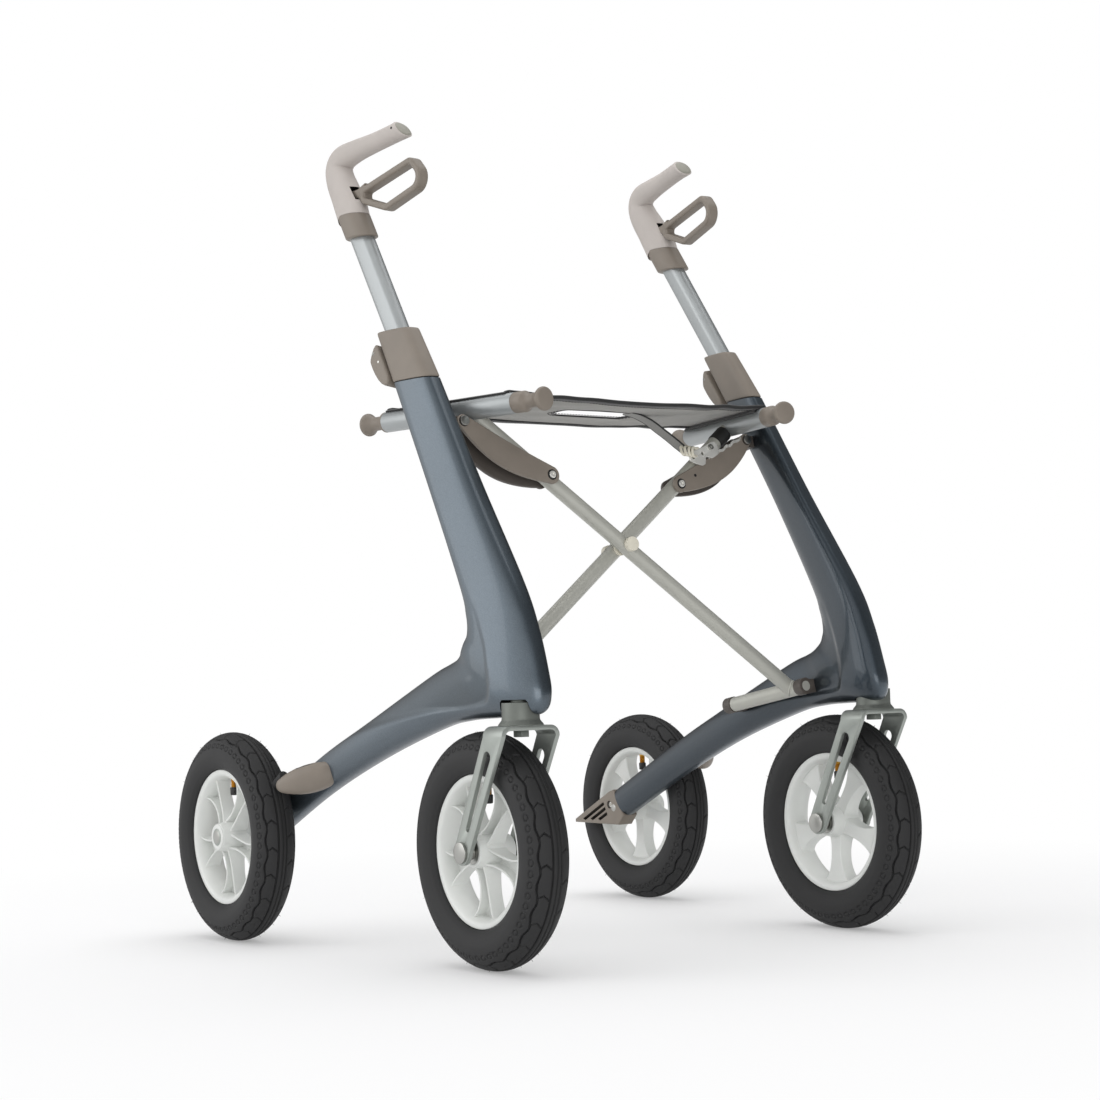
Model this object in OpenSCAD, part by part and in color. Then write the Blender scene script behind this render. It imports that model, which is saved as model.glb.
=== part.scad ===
// All terrain rollator: two moulded side frames joined by a folding cross, on four pneumatic wheels.
// +Z is up and the ground is Z = 0. The swivel casters are at the front, towards -Y, and the user
// walks behind, at +Y. Right means +X and left -X. The origin lies on the ground, midway between
// the axles. Every side piece is drawn on the right and mirrored for the left. Sizes in millimetres.

/* [Stance] */
// Distance between front and rear axles
wheel_base = 474; // [450:1:500]
// Distance between the front wheels' middles
front_track = 500; // [490:1:520]
// Rear wheel's middle outside the leg's middle
rear_outset = 74; // [73:0.5:88]

/* [Wheels] */
// Tyre outer diameter
tyre_d = 254; // [250:1:256]
// Tyre section width
tyre_w = 52; // [48:1:54]
// Tyre wall
tyre_wall = 4.5; // [3:0.5:6]
// Tyre height outside the rim flange
tyre_h = 45; // [43:1:48]
// Rim width over the flanges
rim_w = 34; // [30:1:38]
// Rim flange thickness
flange_t = 3; // [2:0.5:4]
// Spokes in a rim
spoke_count = 5; // [4:1:6]
// Spoke width
spoke_w = 17; // [12:1:22]
// Spoke depth along the axle
spoke_t = 14; // [10:1:18]
// Hub diameter
hub_d = 38; // [34:1:44]
// Hub length
hub_w = 46; // [40:1:50]
// Axle diameter
axle_d = 10; // [8:0.5:11]
// Wheel bearing outer diameter
bearing_d = 26; // [24:1:30]
// Wheel bearing width
bearing_w = 8; // [6:1:9]
// Valve stem diameter
valve_d = 8; // [6:0.5:9]

/* [Casters] */
// Trail of the caster axle behind the stem
trail = 66; // [60:1:72]
// Fork strap thickness
strap_t = 5; // [4:0.5:6]
// Fork strap width at the crown
crown_w = 36; // [30:1:40]
// Gap between the fork legs
fork_gap = 63; // [60:1:66]
// Fork crown's top above the top of the tyre
crown_gap = 6; // [5:0.5:8]
// Radius of the boss at the axle
fork_boss_r = 13.5; // [12:0.5:15]
// Width of the slot in a fork leg
leg_slot_w = 13; // [8:1:15]
// Stem flare diameter at the crown
stem_flare_d = 48; // [42:1:50]
// Stem diameter where it enters the leg
stem_neck_d = 40; // [36:1:42]
// Stem shaft diameter
stem_d = 20; // [16:1:22]

/* [Side frames] */
// Height of the leg's top face above the fork crown
leg_rise = 390; // [375:1:405]
// Drop of the arm's lower rear corner below the fork crown
arm_drop = 143; // [141:1:146]
// Reach of the leg's nose ahead of the caster stem
nose = 31; // [28:1:34]
// Reach of the arm past the rear axle
arm_over = 1; // [-1:0.5:3]
// Greatest thickness of a side frame
frame_thick = 56; // [54:1:58]
// Leg's middle inside the caster stem
stem_inset = 9; // [7:0.5:11]
// Outward splay of the arm at its end
frame_splay = 34.5; // [32:0.5:35]

/* [Handles] */
// Backward lean of the handle tube
handle_lean = 34; // [33:0.5:35]
// Inward lean of the handle tube
handle_in = 2; // [1:0.5:2.5]
// Turn of the oval tube about its own axis
handle_toe = 10; // [6:1:12]
// Oval tube width
tube_w = 19; // [17:0.5:20]
// Oval tube depth
tube_d = 31; // [28:0.5:32]
// Oval tube wall
tube_wall = 2; // [1.5:0.5:3]
// Handle tube showing between the leg's top and the grip collar, as a height
handle_out = 187; // [175:1:200]
// Height of the grip collar
grip_collar_h = 31; // [26:1:36]
// Tube length inside the leg
tube_in_leg = 120; // [105:1:125]
// Downward travel of the handle
handle_down = 70; // [50:1:75]

/* [Clamps] */
// Clamp collar height
clamp_h = 64; // [58:1:70]
// Clamp lever width
lever_w = 23; // [20:0.5:26]
// Clamp lever length below its pin
lever_len = 50; // [42:1:54]
// Clamp pin diameter
clamp_pin_d = 5; // [4:0.5:6]

/* [Grips and brakes] */
// Forward reach of the grip from its base
grip_reach = 83; // [75:1:90]
// Height of the grip above its collar
grip_rise = 94; // [85:1:100]
// Inward turn of the grip's tip
grip_turn = 24; // [16:1:30]
// Grip diameter
grip_d = 35; // [34:0.5:37]
// Brake loop length from its pivot
loop_len = 140; // [125:1:150]
// Brake loop height
loop_h = 53; // [46:1:58]
// Brake loop strap thickness
loop_t = 8; // [6:0.5:10]
// Brake loop strap width
loop_w = 15; // [12:0.5:17]
// Brake lever trunnion diameter
trunnion_d = 7; // [6:0.5:8]
// Brake shoe diameter
shoe_d = 12; // [10:0.5:13]
// Gap between brake shoe and tyre at rest
shoe_gap = 4; // [3.5:0.1:5]

/* [Folding cross] */
// Backward lean of the cross
cross_lean = 9; // [8:0.5:10]
// Lower hinge inside the leg's middle
hinge_inset = 17; // [16:0.5:18]
// Rise of the cross pivot above the lower hinges
cross_rise = 176; // [172:1:180]
// Cross tube diameter
cross_d = 18; // [16:0.5:19]
// Gap between the two cross tubes
cross_gap = 3; // [2:0.5:4]
// Lower hinge bar diameter
hinge_bar_d = 18; // [16:0.5:18]
// Lower hinge bar length between its journals
hinge_bar_len = 124; // [115:1:130]
// Journal diameter of the hinge bar
journal_d = 12; // [10:0.5:13]
// Bearing block length
block_len = 13; // [10:0.5:14]
// Link pivot inside the leg's middle
link_inset = 27; // [26:0.5:29]
// Distance of the link's tube pin from the middle plane
link_pin_x = 102; // [98:0.5:106]
// Link cheek thickness
cheek_t = 5; // [4.5:0.5:6]
// Link bolt diameter
link_bolt_d = 6; // [5:0.5:7]

/* [Seat] */
// Seat bar inside the leg's middle where it meets its cross tube
seat_inset = 38; // [36:0.5:40]
// Outward splay of the seat bars towards the rear
seat_splay = 12.4; // [11.5:0.1:13]
// Seat bar diameter
seat_bar_d = 24; // [22:0.5:24.5]
// Seat bar length ahead of its cross tube
seat_bar_front = 99; // [92:1:104]
// Seat bar length behind its cross tube
seat_bar_rear = 110; // [100:1:114]
// Front cap length beyond the bar
front_cap_len = 45; // [42:1:52]
// Rear cap length beyond the bar
rear_cap_len = 36; // [32:1:40]
// Cap knob diameter
cap_d = 27; // [25:0.5:29]
// Seat sling thickness
sling_t = 2.4; // [2:0.1:3]
// Sag of the sling at its middle
sling_sag = 5; // [3:0.5:8]
// Hand slot length
slot_len = 113; // [90:1:125]
// Hand slot width
slot_w = 26; // [20:1:34]
// Pull strap width
strap_w = 20; // [16:1:24]

/* [Hidden] */
$fn = 48;

// Clearances: a running shaft, neighbours that move past each other, and the overrun of a cut
run_gap = 0.05;
part_gap = 0.4;
cut = 1;

// Colours of the finishes
lacquer = [0.27, 0.33, 0.38];
taupe = [0.53, 0.49, 0.45];
silver = [0.78, 0.79, 0.79];
steel = [0.62, 0.62, 0.6];

// Sizes that follow from the driving ones
rim_d = tyre_d - 2 * tyre_h;
crown_z = tyre_d + crown_gap;
leg_top_z = crown_z + leg_rise;
arm_end_z = crown_z - arm_drop;
grip_collar_z = leg_top_z + handle_out;
frame_x = front_track / 2 - stem_inset;
rear_track = 2 * (frame_x + rear_outset);
hinge_x = frame_x - hinge_inset;
link_x = frame_x - link_inset;
seat_x = frame_x - seat_inset;
seat_w = cross_rise * (1 + seat_x / hinge_x);
link_w = seat_w - seat_bar_d * 0.854;

// Places of the axles and the stem
axle_z = tyre_d / 2;
front_y = -wheel_base / 2;
rear_y = wheel_base / 2;
front_x = front_track / 2;
rear_x = rear_track / 2;
stem_y = front_y - trail;

// Side frame outline, front and underside edge first, then back and upper edge, station by
// station from the leg's top round the nose to the arm's end. Shares of the frame's length and
// rise, then of its splay (middle and turn) and of its thickness.
frame_front = stem_y - nose;
frame_len = rear_y + arm_over - frame_front;
frame_rise = leg_top_z - arm_end_z;
frame_shares = [
  [0.351, 1.000, 0.470, 1.000, 0.00, 0.29, 0.48],
  [0.215, 0.771, 0.338, 0.771, 0.08, 0.41, 0.56],
  [0.077, 0.552, 0.225, 0.557, 0.13, 0.45, 0.65],
  [0.032, 0.452, 0.201, 0.493, 0.14, 0.48, 0.70],
  [0.007, 0.366, 0.197, 0.456, 0.16, 0.52, 0.77],
  [0.000, 0.325, 0.205, 0.437, 0.20, 0.56, 0.82],
  [0.009, 0.296, 0.212, 0.424, 0.23, 0.52, 0.84],
  [0.042, 0.285, 0.220, 0.413, 0.26, 0.36, 0.86],
  [0.115, 0.283, 0.234, 0.403, 0.34, 0.18, 0.82],
  [0.208, 0.278, 0.259, 0.394, 0.43, 0.07, 0.70],
  [0.304, 0.261, 0.322, 0.373, 0.49, 0.00, 0.66],
  [0.514, 0.197, 0.523, 0.289, 0.66, 0.00, 0.62],
  [0.724, 0.113, 0.741, 0.195, 0.88, 0.00, 0.55],
  [0.960, 0.000, 1.000, 0.066, 0.97, 0.00, 0.49]
];
frame_steps = 3;
frame_sides = 16;
frame_square_share = 0.8;

// Handle: the oval tube's axis passes through the middle of the leg's top face
leg_top_y = frame_front + frame_len * (frame_shares[0][0] + frame_shares[0][2]) / 2;
handle_along = 1 / (cos(handle_lean) * cos(handle_in));
tube_top = (grip_collar_z + grip_collar_h - leg_top_z) * handle_along + grip_collar_h * 0.06;
grip_base_z = grip_collar_z + grip_collar_h;
grip_base_y = leg_top_y + (grip_base_z - leg_top_z) * tan(handle_lean) / cos(handle_in);
grip_base_x = frame_x - (grip_base_z - leg_top_z) * tan(handle_in);

// Grip spine: turn, reach and rise from the base, then half width and half depth, as shares
grip_shares = [
  [0.00, 0.00, 0.00, 0.47, 0.68],
  [0.05, 0.23, 0.30, 0.47, 0.64],
  [0.10, 0.43, 0.54, 0.48, 0.61],
  [0.15, 0.50, 0.72, 0.49, 0.58],
  [0.24, 0.38, 0.85, 0.49, 0.54],
  [0.40, 0.06, 0.91, 0.47, 0.49],
  [0.65, -0.36, 0.95, 0.44, 0.45],
  [0.90, -0.76, 0.98, 0.42, 0.43],
  [1.00, -0.97, 1.00, 0.34, 0.36]
];
grip_steps = 2;
grip_sides = 14;

// Brake lever pivot inside the grip, and the loop's drop below it
lever_y = grip_base_y + 0.1 * grip_reach;
lever_z = grip_base_z + 0.27 * grip_rise;
lever_x = grip_base_x - 0.06 * grip_turn;
loop_turn = 7;
slot_gap = 1;
trunnion_len = grip_d * 0.72;

// Clamp lever pin behind the collar; the collar continues the leg's section up the handle
collar_depth = frame_len * (frame_shares[0][2] - frame_shares[0][0]) * cos(handle_lean);
collar_top_share = 0.93;
clamp_pin_y = collar_depth / 2 + lever_w * 0.42;
clamp_pin_z = clamp_h * 1.1;
lug_w = lever_w * 0.36;
lever_r = lever_w * 0.38;

// Fold frame: y runs along the hinge axes, x across, z up the leaning cross
fold_y = frame_front + 0.273 * frame_len;
fold_z = arm_end_z + 0.313 * frame_rise;
tube_v = (cross_d + cross_gap) / 2;
cross_angle = atan(cross_rise / hinge_x);
block_d = journal_d * 1.67;
link_pin_w = cross_rise * (1 + link_pin_x / hinge_x);
link_len = norm([link_x - link_pin_x, link_w - link_pin_w]);
link_angle = atan2(link_pin_w - link_w, link_pin_x - link_x);
cheek_v = cross_d / 2 + part_gap;
slot_depth = cheek_t * 0.6;
link_nose_r = link_bolt_d * 1.5;
pin_nose_r = link_bolt_d * 1.85;
bolt_head_d = link_bolt_d * 1.9;
bolt_head_h = link_bolt_d * 0.5;

// Seat: the bars pass through the ends of the cross tubes
seat_y = fold_y + tube_v * cos(cross_lean) + seat_w * sin(cross_lean);
seat_z = fold_z - tube_v * sin(cross_lean) + seat_w * cos(cross_lean);
seat_bar_len = seat_bar_front + seat_bar_rear;
sling_front_y = seat_y - seat_bar_front * 0.91 * cos(seat_splay);
sling_rear_y = seat_y + seat_bar_rear * cos(seat_splay);
sling_mid_y = (sling_front_y + sling_rear_y) / 2;
sling_z = seat_z + seat_bar_d / 2 + part_gap;
function bar_x(y) = seat_x + (y - seat_y) * tan(seat_splay);

// Latch on the rear cross tube, beyond the link's pin
latch_len = 46;
latch_t = 2;
latch_pin_d = 4;
latch_at = norm([link_pin_x, link_pin_w - cross_rise]) + latch_len * 1.5;

// Brake pod and shoe: the shoe's axis points at the rear axle
shoe_angle = 30;
shoe_r = axle_z + shoe_gap;
shoe_len = 22;
pod_r = shoe_d;

// Smooth curve through the rows of a table
function row(table, i) = table[max(0, min(len(table) - 1, i))];
function curve(a, b, c, d, t) =
  (2 * b + (c - a) * t + (2 * a - 5 * b + 4 * c - d) * t * t + (3 * b - a - 3 * c + d) * t * t * t) / 2;
function along(table, s) =
  let (i = min(floor(s), len(table) - 2))
  curve(row(table, i - 1), row(table, i), row(table, i + 1), row(table, i + 2), s - i);
function stations(table, steps) = [
  for (k = [0 : (len(table) - 1) * steps]) along(table, k / steps)
];
function rounded(v, e) = sign(v) * pow(abs(v), e);

// Ring of a rounded section about a middle, with its two half axes as vectors
function ring(middle, half_a, half_b, sides, e) = [
  for (k = [0 : sides - 1])
    let (a = 360 * (k + 0.5) / sides)
    middle + rounded(cos(a), e) * half_a + rounded(sin(a), e) * half_b
];

// Side frame rings from its stations
function frame_point(y_share, z_share) =
  [0, frame_front + y_share * frame_len, arm_end_z + z_share * frame_rise];
function frame_ring(s) =
  let (
    front = frame_point(s[0], s[1]),
    back = frame_point(s[2], s[3]),
    turn = [s[5] * frame_splay, 0, 0],
    middle = (front + back) / 2 + [frame_x + s[4] * frame_splay, 0, 0]
  )
  ring(middle, (back - front + turn) / 2, [s[6] * frame_thick / 2, 0, 0], frame_sides, frame_square_share);
frame_rings = [for (s = stations(frame_shares, frame_steps)) frame_ring(s)];

// Grip rings: the first lies flat on the collar, the others square to the spine
function grip_middle(s) =
  [grip_base_x - s[0] * grip_turn, grip_base_y + s[1] * grip_reach, grip_base_z + s[2] * grip_rise];
grip_table = stations(grip_shares, grip_steps);
function grip_tangent(i) =
  i == 0 ? [0, 0, 1]
  : let (v = grip_middle(row(grip_table, i + 1)) - grip_middle(row(grip_table, i - 1))) v / norm(v);
function grip_ring(i) =
  let (
    s = grip_table[i],
    t = grip_tangent(i),
    n = cross([1, 0, 0], t),
    up = n / norm(n),
    side = cross(t, up)
  )
  ring(grip_middle(s), side * s[3] * grip_d, up * s[4] * grip_d, grip_sides, 0.9);
grip_rings = [for (i = [0 : len(grip_table) - 1]) grip_ring(i)];

// Closed skin over a row of rings
module skin(rings) {
  n = len(rings[0]);
  last = (len(rings) - 1) * n;
  points = [for (r = rings) each r];
  walls = [
    for (j = [0 : len(rings) - 2], k = [0 : n - 1])
      let (a = j * n + k, b = j * n + (k + 1) % n)
      each [[a, b, a + n], [b, b + n, a + n]]
  ];
  start = [for (k = [1 : n - 2]) [0, k + 1, k]];
  end = [for (k = [1 : n - 2]) [last, last + k, last + k + 1]];
  polyhedron(points = points, faces = concat(walls, start, end));
}

// Draws a right-hand piece, or its mirror image on the left
module side(s) {
  if (s < 0) mirror([1, 0, 0]) children();
  else children();
}
module handle_frame() {
  translate([frame_x, leg_top_y, leg_top_z])
    rotate([-handle_lean, -handle_in, 0])
    rotate([0, 0, -handle_toe])
    children();
}
module fold_frame() {
  translate([0, fold_y, fold_z]) rotate([-cross_lean, 0, 0]) children();
}
// Cylinder along +Y from its start
module rod(d, length) {
  rotate([-90, 0, 0]) cylinder(d = d, h = length);
}
// Cylinder along +X from its start
module pin(d, length) {
  rotate([0, 90, 0]) cylinder(d = d, h = length);
}
module oval(w, d) {
  square([w, d - w], center = true);
  for (e = [-1, 1]) translate([0, e * (d - w) / 2]) circle(d = w);
}
// Side frame
module frame_shell() {
  skin([for (i = [len(frame_rings) - 1 : -1 : 0]) frame_rings[i]]);
}
stem_top_z = crown_z + stem_neck_d * 1.6;
module side_frame(s) {
  pocket = tube_in_leg + handle_down + part_gap;
  color(lacquer) side(s) difference() {
    frame_shell();
    handle_frame() translate([0, 0, -pocket])
      linear_extrude(pocket + grip_collar_h) oval(tube_w + 2 * part_gap, tube_d + 2 * part_gap);
    translate([front_x, stem_y, crown_z - cut])
      cylinder(d = stem_neck_d + 6 * part_gap, h = stem_neck_d * 0.7 + cut);
    translate([front_x, stem_y, crown_z])
      cylinder(d = stem_d + 2 * run_gap, h = stem_top_z - crown_z + part_gap);
    bracket_feet(s);
    pod_body();
  }
}

// Clamp on the leg's top, with a lug for the lever
module clamp_collar(s) {
  top = [-tan(handle_in) * clamp_h, tan(handle_lean) * clamp_h, clamp_h];
  middle = [frame_x, leg_top_y, leg_top_z];
  color(taupe) side(s) difference() {
    union() {
      skin([[for (p = frame_rings[0]) p],
            [for (p = frame_rings[0]) middle + (p - middle) * collar_top_share + top]]);
      handle_frame() translate([-lug_w / 2, collar_depth * 0.3, clamp_pin_z]) clamp_lug();
    }
    handle_frame() translate([0, 0, -collar_depth])
      linear_extrude(clamp_h * 3) oval(tube_w + 2 * part_gap, tube_d + 2 * part_gap);
    handle_frame() translate([-lug_w, clamp_pin_y, clamp_pin_z]) pin(clamp_pin_d, 2 * lug_w);
  }
}
module clamp_lug() {
  reach = clamp_pin_y - collar_depth * 0.3;
  translate([0, 0, -clamp_pin_d]) cube([lug_w, reach, 2 * clamp_pin_d]);
  translate([0, reach, 0]) pin(2 * clamp_pin_d, lug_w);
}
module clamp_lever(s) {
  color(taupe) side(s) handle_frame() translate([0, clamp_pin_y, clamp_pin_z]) difference() {
    union() {
      translate([-lever_w / 2, 0, 0]) pin(2 * lever_r, lever_w);
      translate([-lever_w / 2, 0, 0]) rotate([90, 0, 90]) linear_extrude(lever_w)
        polygon([[-lever_r, 0], [lever_r * 0.8, lever_r * 0.6], [lever_r * 1.3, 0],
                 [lever_r, -lever_len * 0.5], [-lever_r * 0.1, -lever_len], [-lever_r * 0.6, -lever_len]]);
    }
    translate([-lug_w / 2 - part_gap, -lever_w, -lever_r * 1.3])
      cube([lug_w + 2 * part_gap, lever_w + lever_r * 0.95, lever_w * 2]);
    translate([-lever_w, 0, 0]) pin(clamp_pin_d + 2 * run_gap, 2 * lever_w);
  }
}

// Handle tube, collar and grip
module handle_tube(s) {
  color(silver) side(s) handle_frame() translate([0, 0, -tube_in_leg]) linear_extrude(tube_in_leg + tube_top)
    difference() {
      oval(tube_w, tube_d);
      oval(tube_w - 2 * tube_wall, tube_d - 2 * tube_wall);
    }
}
module grip_collar(s) {
  color(taupe) side(s) difference() {
    skin([for (i = [0, 1]) [for (p = grip_rings[0]) [
      p[0] + (1 - i) * tan(handle_in) * grip_collar_h,
      p[1] - (1 - i) * tan(handle_lean) * grip_collar_h,
      grip_collar_z + i * grip_collar_h
    ]]]);
    handle_socket();
  }
}
module handle_socket() {
  handle_frame() linear_extrude(tube_top) oval(tube_w, tube_d);
}
module grip(s) {
  color([0.7, 0.675, 0.655]) side(s) difference() {
    skin(grip_rings);
    handle_socket();
    translate([lever_x, lever_y, lever_z]) rotate([0, 0, -loop_turn]) lever_slot();
    translate([lever_x - trunnion_len / 2 - part_gap, lever_y, lever_z])
      pin(trunnion_d + 2 * run_gap, trunnion_len + 2 * part_gap);
  }
}
module lever_slot() {
  w = loop_w + 2 * slot_gap;
  translate([-w / 2, -grip_d * 1.5, -trunnion_d * 1.4])
    cube([w, grip_d * 1.5 + trunnion_d, trunnion_d * 3.4]);
}

// Brake lever: a strap loop on a short neck, with trunnions that turn in the grip
module brake_lever(s) {
  color(taupe) side(s) translate([lever_x, lever_y, lever_z]) {
    rotate([0, 0, -loop_turn]) translate([-loop_w / 2, 0, 0]) rotate([90, 0, 90]) linear_extrude(loop_w) {
      difference() {
        loop_outline(0);
        loop_outline(loop_t);
      }
      translate([-loop_len * 0.24, -trunnion_d * 0.9]) square([loop_len * 0.24, trunnion_d * 1.5]);
      circle(d = trunnion_d * 1.5);
    }
    translate([-trunnion_len / 2, 0, 0]) pin(trunnion_d, trunnion_len);
  }
}
// Outline of the loop seen from the side, shrunk by an inset
loop_shares = [[-0.29, -0.10, 0.24], [-0.72, 0.20, 0.26], [-0.83, -0.12, 0.34], [-0.40, -0.40, 0.24]];
module loop_outline(inset) {
  hull() for (p = loop_shares)
    translate([p[0] * loop_len, p[1] * loop_h]) circle(r = p[2] * loop_h - inset, $fn = 32);
}

// Brake pod on the arm's outer face, and the shoe that it guides
module at_shoe() {
  translate([rear_x, rear_y, axle_z]) rotate([-shoe_angle, 0, 0]) children();
}
// Pod body: a lozenge turned about the line from the arm to the shoe's back
pod_shares = [[0, -0.9], [0.5, -0.8], [0.85, -0.5], [1.1, 0], [1, 1], [0.9, 2], [0.85, 3], [0.7, 3.6],
  [0.4, 4], [0, 4.1]];
pod_from = [frame_x + frame_splay * 1.24, rear_y - shoe_r * 1.32, axle_z + shoe_r * 0.57];
pod_to = [rear_x, rear_y - (shoe_r + shoe_len) * cos(shoe_angle),
  axle_z + (shoe_r + shoe_len) * sin(shoe_angle)];
module pod_body() {
  run = pod_to - pod_from;
  step = (norm(run) + pod_r * 0.6) / 4.1;
  translate(pod_from) rotate([0, acos(run[2] / norm(run)), atan2(run[1], run[0])])
    rotate_extrude() polygon([for (p = pod_shares) [p[0] * pod_r, p[1] * step]]);
}
module brake_pod(s) {
  color(taupe) side(s) difference() {
    pod_body();
    at_shoe() translate([0, -shoe_r - shoe_len - part_gap, 0]) rod(shoe_d + 2 * part_gap, shoe_len * 2);
  }
}
module brake_shoe(s) {
  color([0.2, 0.2, 0.2]) side(s) at_shoe() translate([0, -shoe_r - shoe_len, 0]) rod(shoe_d, shoe_len);
}

// Kerb pedal closing the arm's end: a wedge with a slotted tread
pedal_len = 96;
pedal_w = frame_thick * 0.44;
pedal_x = frame_x + frame_splay * 0.97;
module kerb_pedal(s) {
  low_end = frame_point(frame_shares[13][0], frame_shares[13][1]);
  high_end = frame_point(frame_shares[13][2], frame_shares[13][3]);
  low = low_end[2] - frame_thick * 0.24;
  tip = high_end[1] + pedal_len;
  color(taupe) side(s) difference() {
    intersection() {
      translate([pedal_x - pedal_w / 2, 0, 0]) rotate([90, 0, 90]) linear_extrude(pedal_w)
        polygon([[low_end[1], low_end[2]], [low_end[1] + frame_thick * 0.22, low], [tip, low],
                 [tip, low + frame_thick * 0.1],
                 [high_end[1] + frame_thick * 0.2, high_end[2] - frame_thick * 0.06],
                 [high_end[1], high_end[2]]]);
      translate([pedal_x, 0, low - cut]) linear_extrude(frame_thick * 2)
        polygon([[-pedal_w, low_end[1] - cut], [pedal_w, low_end[1] - cut],
                 [pedal_w / 2, rear_y + pedal_len * 0.4],
                 [pedal_w * 0.36, tip], [-pedal_w * 0.36, tip], [-pedal_w / 2, rear_y + pedal_len * 0.4]]);
    }
    translate([frame_x, rear_y, axle_z]) pin(axle_d, frame_splay * 3);
    for (k = [-1, 0, 1]) translate([
      pedal_x + k * pedal_w * 0.22 - pedal_w * 0.07, rear_y + pedal_len * 0.5, low - cut
    ]) cube([pedal_w * 0.14, pedal_len * 0.36, frame_thick * 2]);
  }
}

// Wheels, drawn about the X axis at the origin
tyre_r = tyre_w / 2;
tyre_mid_r = tyre_d / 2 - tyre_r;
rim_bed_r = rim_d / 2 - flange_t * 2.7;
rim_in_r = rim_bed_r - flange_t;
module about_x() {
  rotate([0, 90, 0]) children();
}
module at_wheel(front, s) {
  translate([s * (front ? front_x : rear_x), front ? front_y : rear_y, axle_z]) children();
}
module tyre(front, s) {
  bead = rim_w / 2 - flange_t - run_gap;
  color([0.13, 0.13, 0.13]) at_wheel(front, s) about_x() rotate_extrude($fn = 96) difference() {
    translate([tyre_mid_r, 0]) circle(r = tyre_r);
    translate([tyre_mid_r, 0]) circle(r = tyre_r - tyre_wall);
    translate([0, -bead * 0.5]) square([rim_d / 2, bead]);
    for (e = [-1, 1]) translate([0, e > 0 ? bead : -tyre_w]) square([rim_d / 2 + run_gap, tyre_w - bead]);
    translate([0, -tyre_w]) square([rim_bed_r + run_gap, 2 * tyre_w]);
  }
}
module inner_tube(front, s) {
  tube_r = tyre_r - tyre_wall - run_gap;
  stem_end = rim_in_r - 2.6 * valve_d;
  color([0.72, 0.6, 0.3]) at_wheel(front, s) difference() {
    union() {
      about_x() rotate_extrude($fn = 96) translate([tyre_mid_r, 0]) circle(r = tube_r);
      translate([0, 0, stem_end]) cylinder(d = valve_d, h = tyre_mid_r - stem_end);
    }
    about_x() rotate_extrude($fn = 96) translate([tyre_mid_r, 0]) circle(r = tube_r - tyre_wall * 0.4);
    translate([0, 0, stem_end - cut]) cylinder(d = valve_d * 0.4, h = tyre_mid_r - stem_end);
  }
}
module rim(front, s) {
  color([0.9, 0.9, 0.88]) at_wheel(front, s) difference() {
    union() {
      about_x() rotate_extrude($fn = 96) {
        translate([rim_in_r, -rim_w / 2]) square([rim_bed_r - rim_in_r, rim_w]);
        for (e = [-1, 1]) translate([rim_in_r, e > 0 ? rim_w / 2 - flange_t : -rim_w / 2])
          square([rim_d / 2 - rim_in_r, flange_t]);
      }
      translate([-hub_w / 2, 0, 0]) pin(hub_d, hub_w);
      for (k = [0 : spoke_count - 1]) rotate([360 * (k + 0.5) / spoke_count, 0, 0]) side(s) spoke();
    }
    translate([-hub_w, 0, 0]) pin(axle_d + hub_d * 0.1, 2 * hub_w);
    for (e = [-1, 1]) translate([e > 0 ? hub_w / 2 - bearing_w : -hub_w / 2 - cut, 0, 0])
      pin(bearing_d, bearing_w + cut);
    translate([0, 0, rim_in_r - valve_d]) cylinder(d = valve_d + 2 * run_gap, h = 3 * valve_d);
  }
}
// Spoke: a channel that widens into the rim, open to the outside
module spoke_blade(inset) {
  half = spoke_w / 2 - inset;
  far = rim_in_r + flange_t * 0.1;
  near = hub_d * 0.4;
  bend = rim_in_r * 0.6;
  polygon([[-half, near], [-half - spoke_w * 0.08, bend], [-half - spoke_w * 0.54, far],
           [half + spoke_w * 0.54, far], [half + spoke_w * 0.08, bend], [half, near]]);
}
module spoke() {
  rotate([90, 0, 90]) translate([0, 0, -spoke_t / 2]) difference() {
    linear_extrude(spoke_t) spoke_blade(0);
    translate([0, 0, spoke_t * 0.4]) linear_extrude(spoke_t) spoke_blade(flange_t);
  }
}
module bearings(front, s) {
  color(steel) at_wheel(front, s) for (e = [-1, 1])
    translate([e > 0 ? hub_w / 2 - bearing_w : -hub_w / 2, 0, 0])
    difference() {
      pin(bearing_d, bearing_w);
      translate([-cut, 0, 0]) pin(axle_d + 2 * run_gap, bearing_w + 2 * cut);
    }
}

// Caster: strap fork on a flared stem
fork_out = fork_gap / 2 + strap_t;
bend_r = strap_t * 2.2;
module at_caster(s) {
  side(s) translate([front_x, 0, 0]) children();
}
module fork(s) {
  color([0.62, 0.64, 0.61]) at_caster(s) difference() {
    union() {
      translate([-fork_out + bend_r, stem_y - crown_w / 2, crown_z - strap_t])
        cube([2 * (fork_out - bend_r), crown_w, strap_t]);
      for (e = [-1, 1]) {
        translate([e * (fork_out - bend_r), stem_y + crown_w / 2, crown_z - bend_r])
          rotate([90, e > 0 ? 0 : -90, 0]) rotate_extrude(angle = 90)
          translate([bend_r - strap_t, 0]) square([strap_t, crown_w]);
        translate([e > 0 ? fork_out - strap_t : -fork_out, 0, 0]) fork_leg();
      }
    }
    translate([0, stem_y, crown_z - 2 * strap_t]) cylinder(d = stem_d * 0.5, h = 3 * strap_t);
    translate([-2 * fork_out, front_y, axle_z]) pin(axle_d, 4 * fork_out);
  }
}
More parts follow.
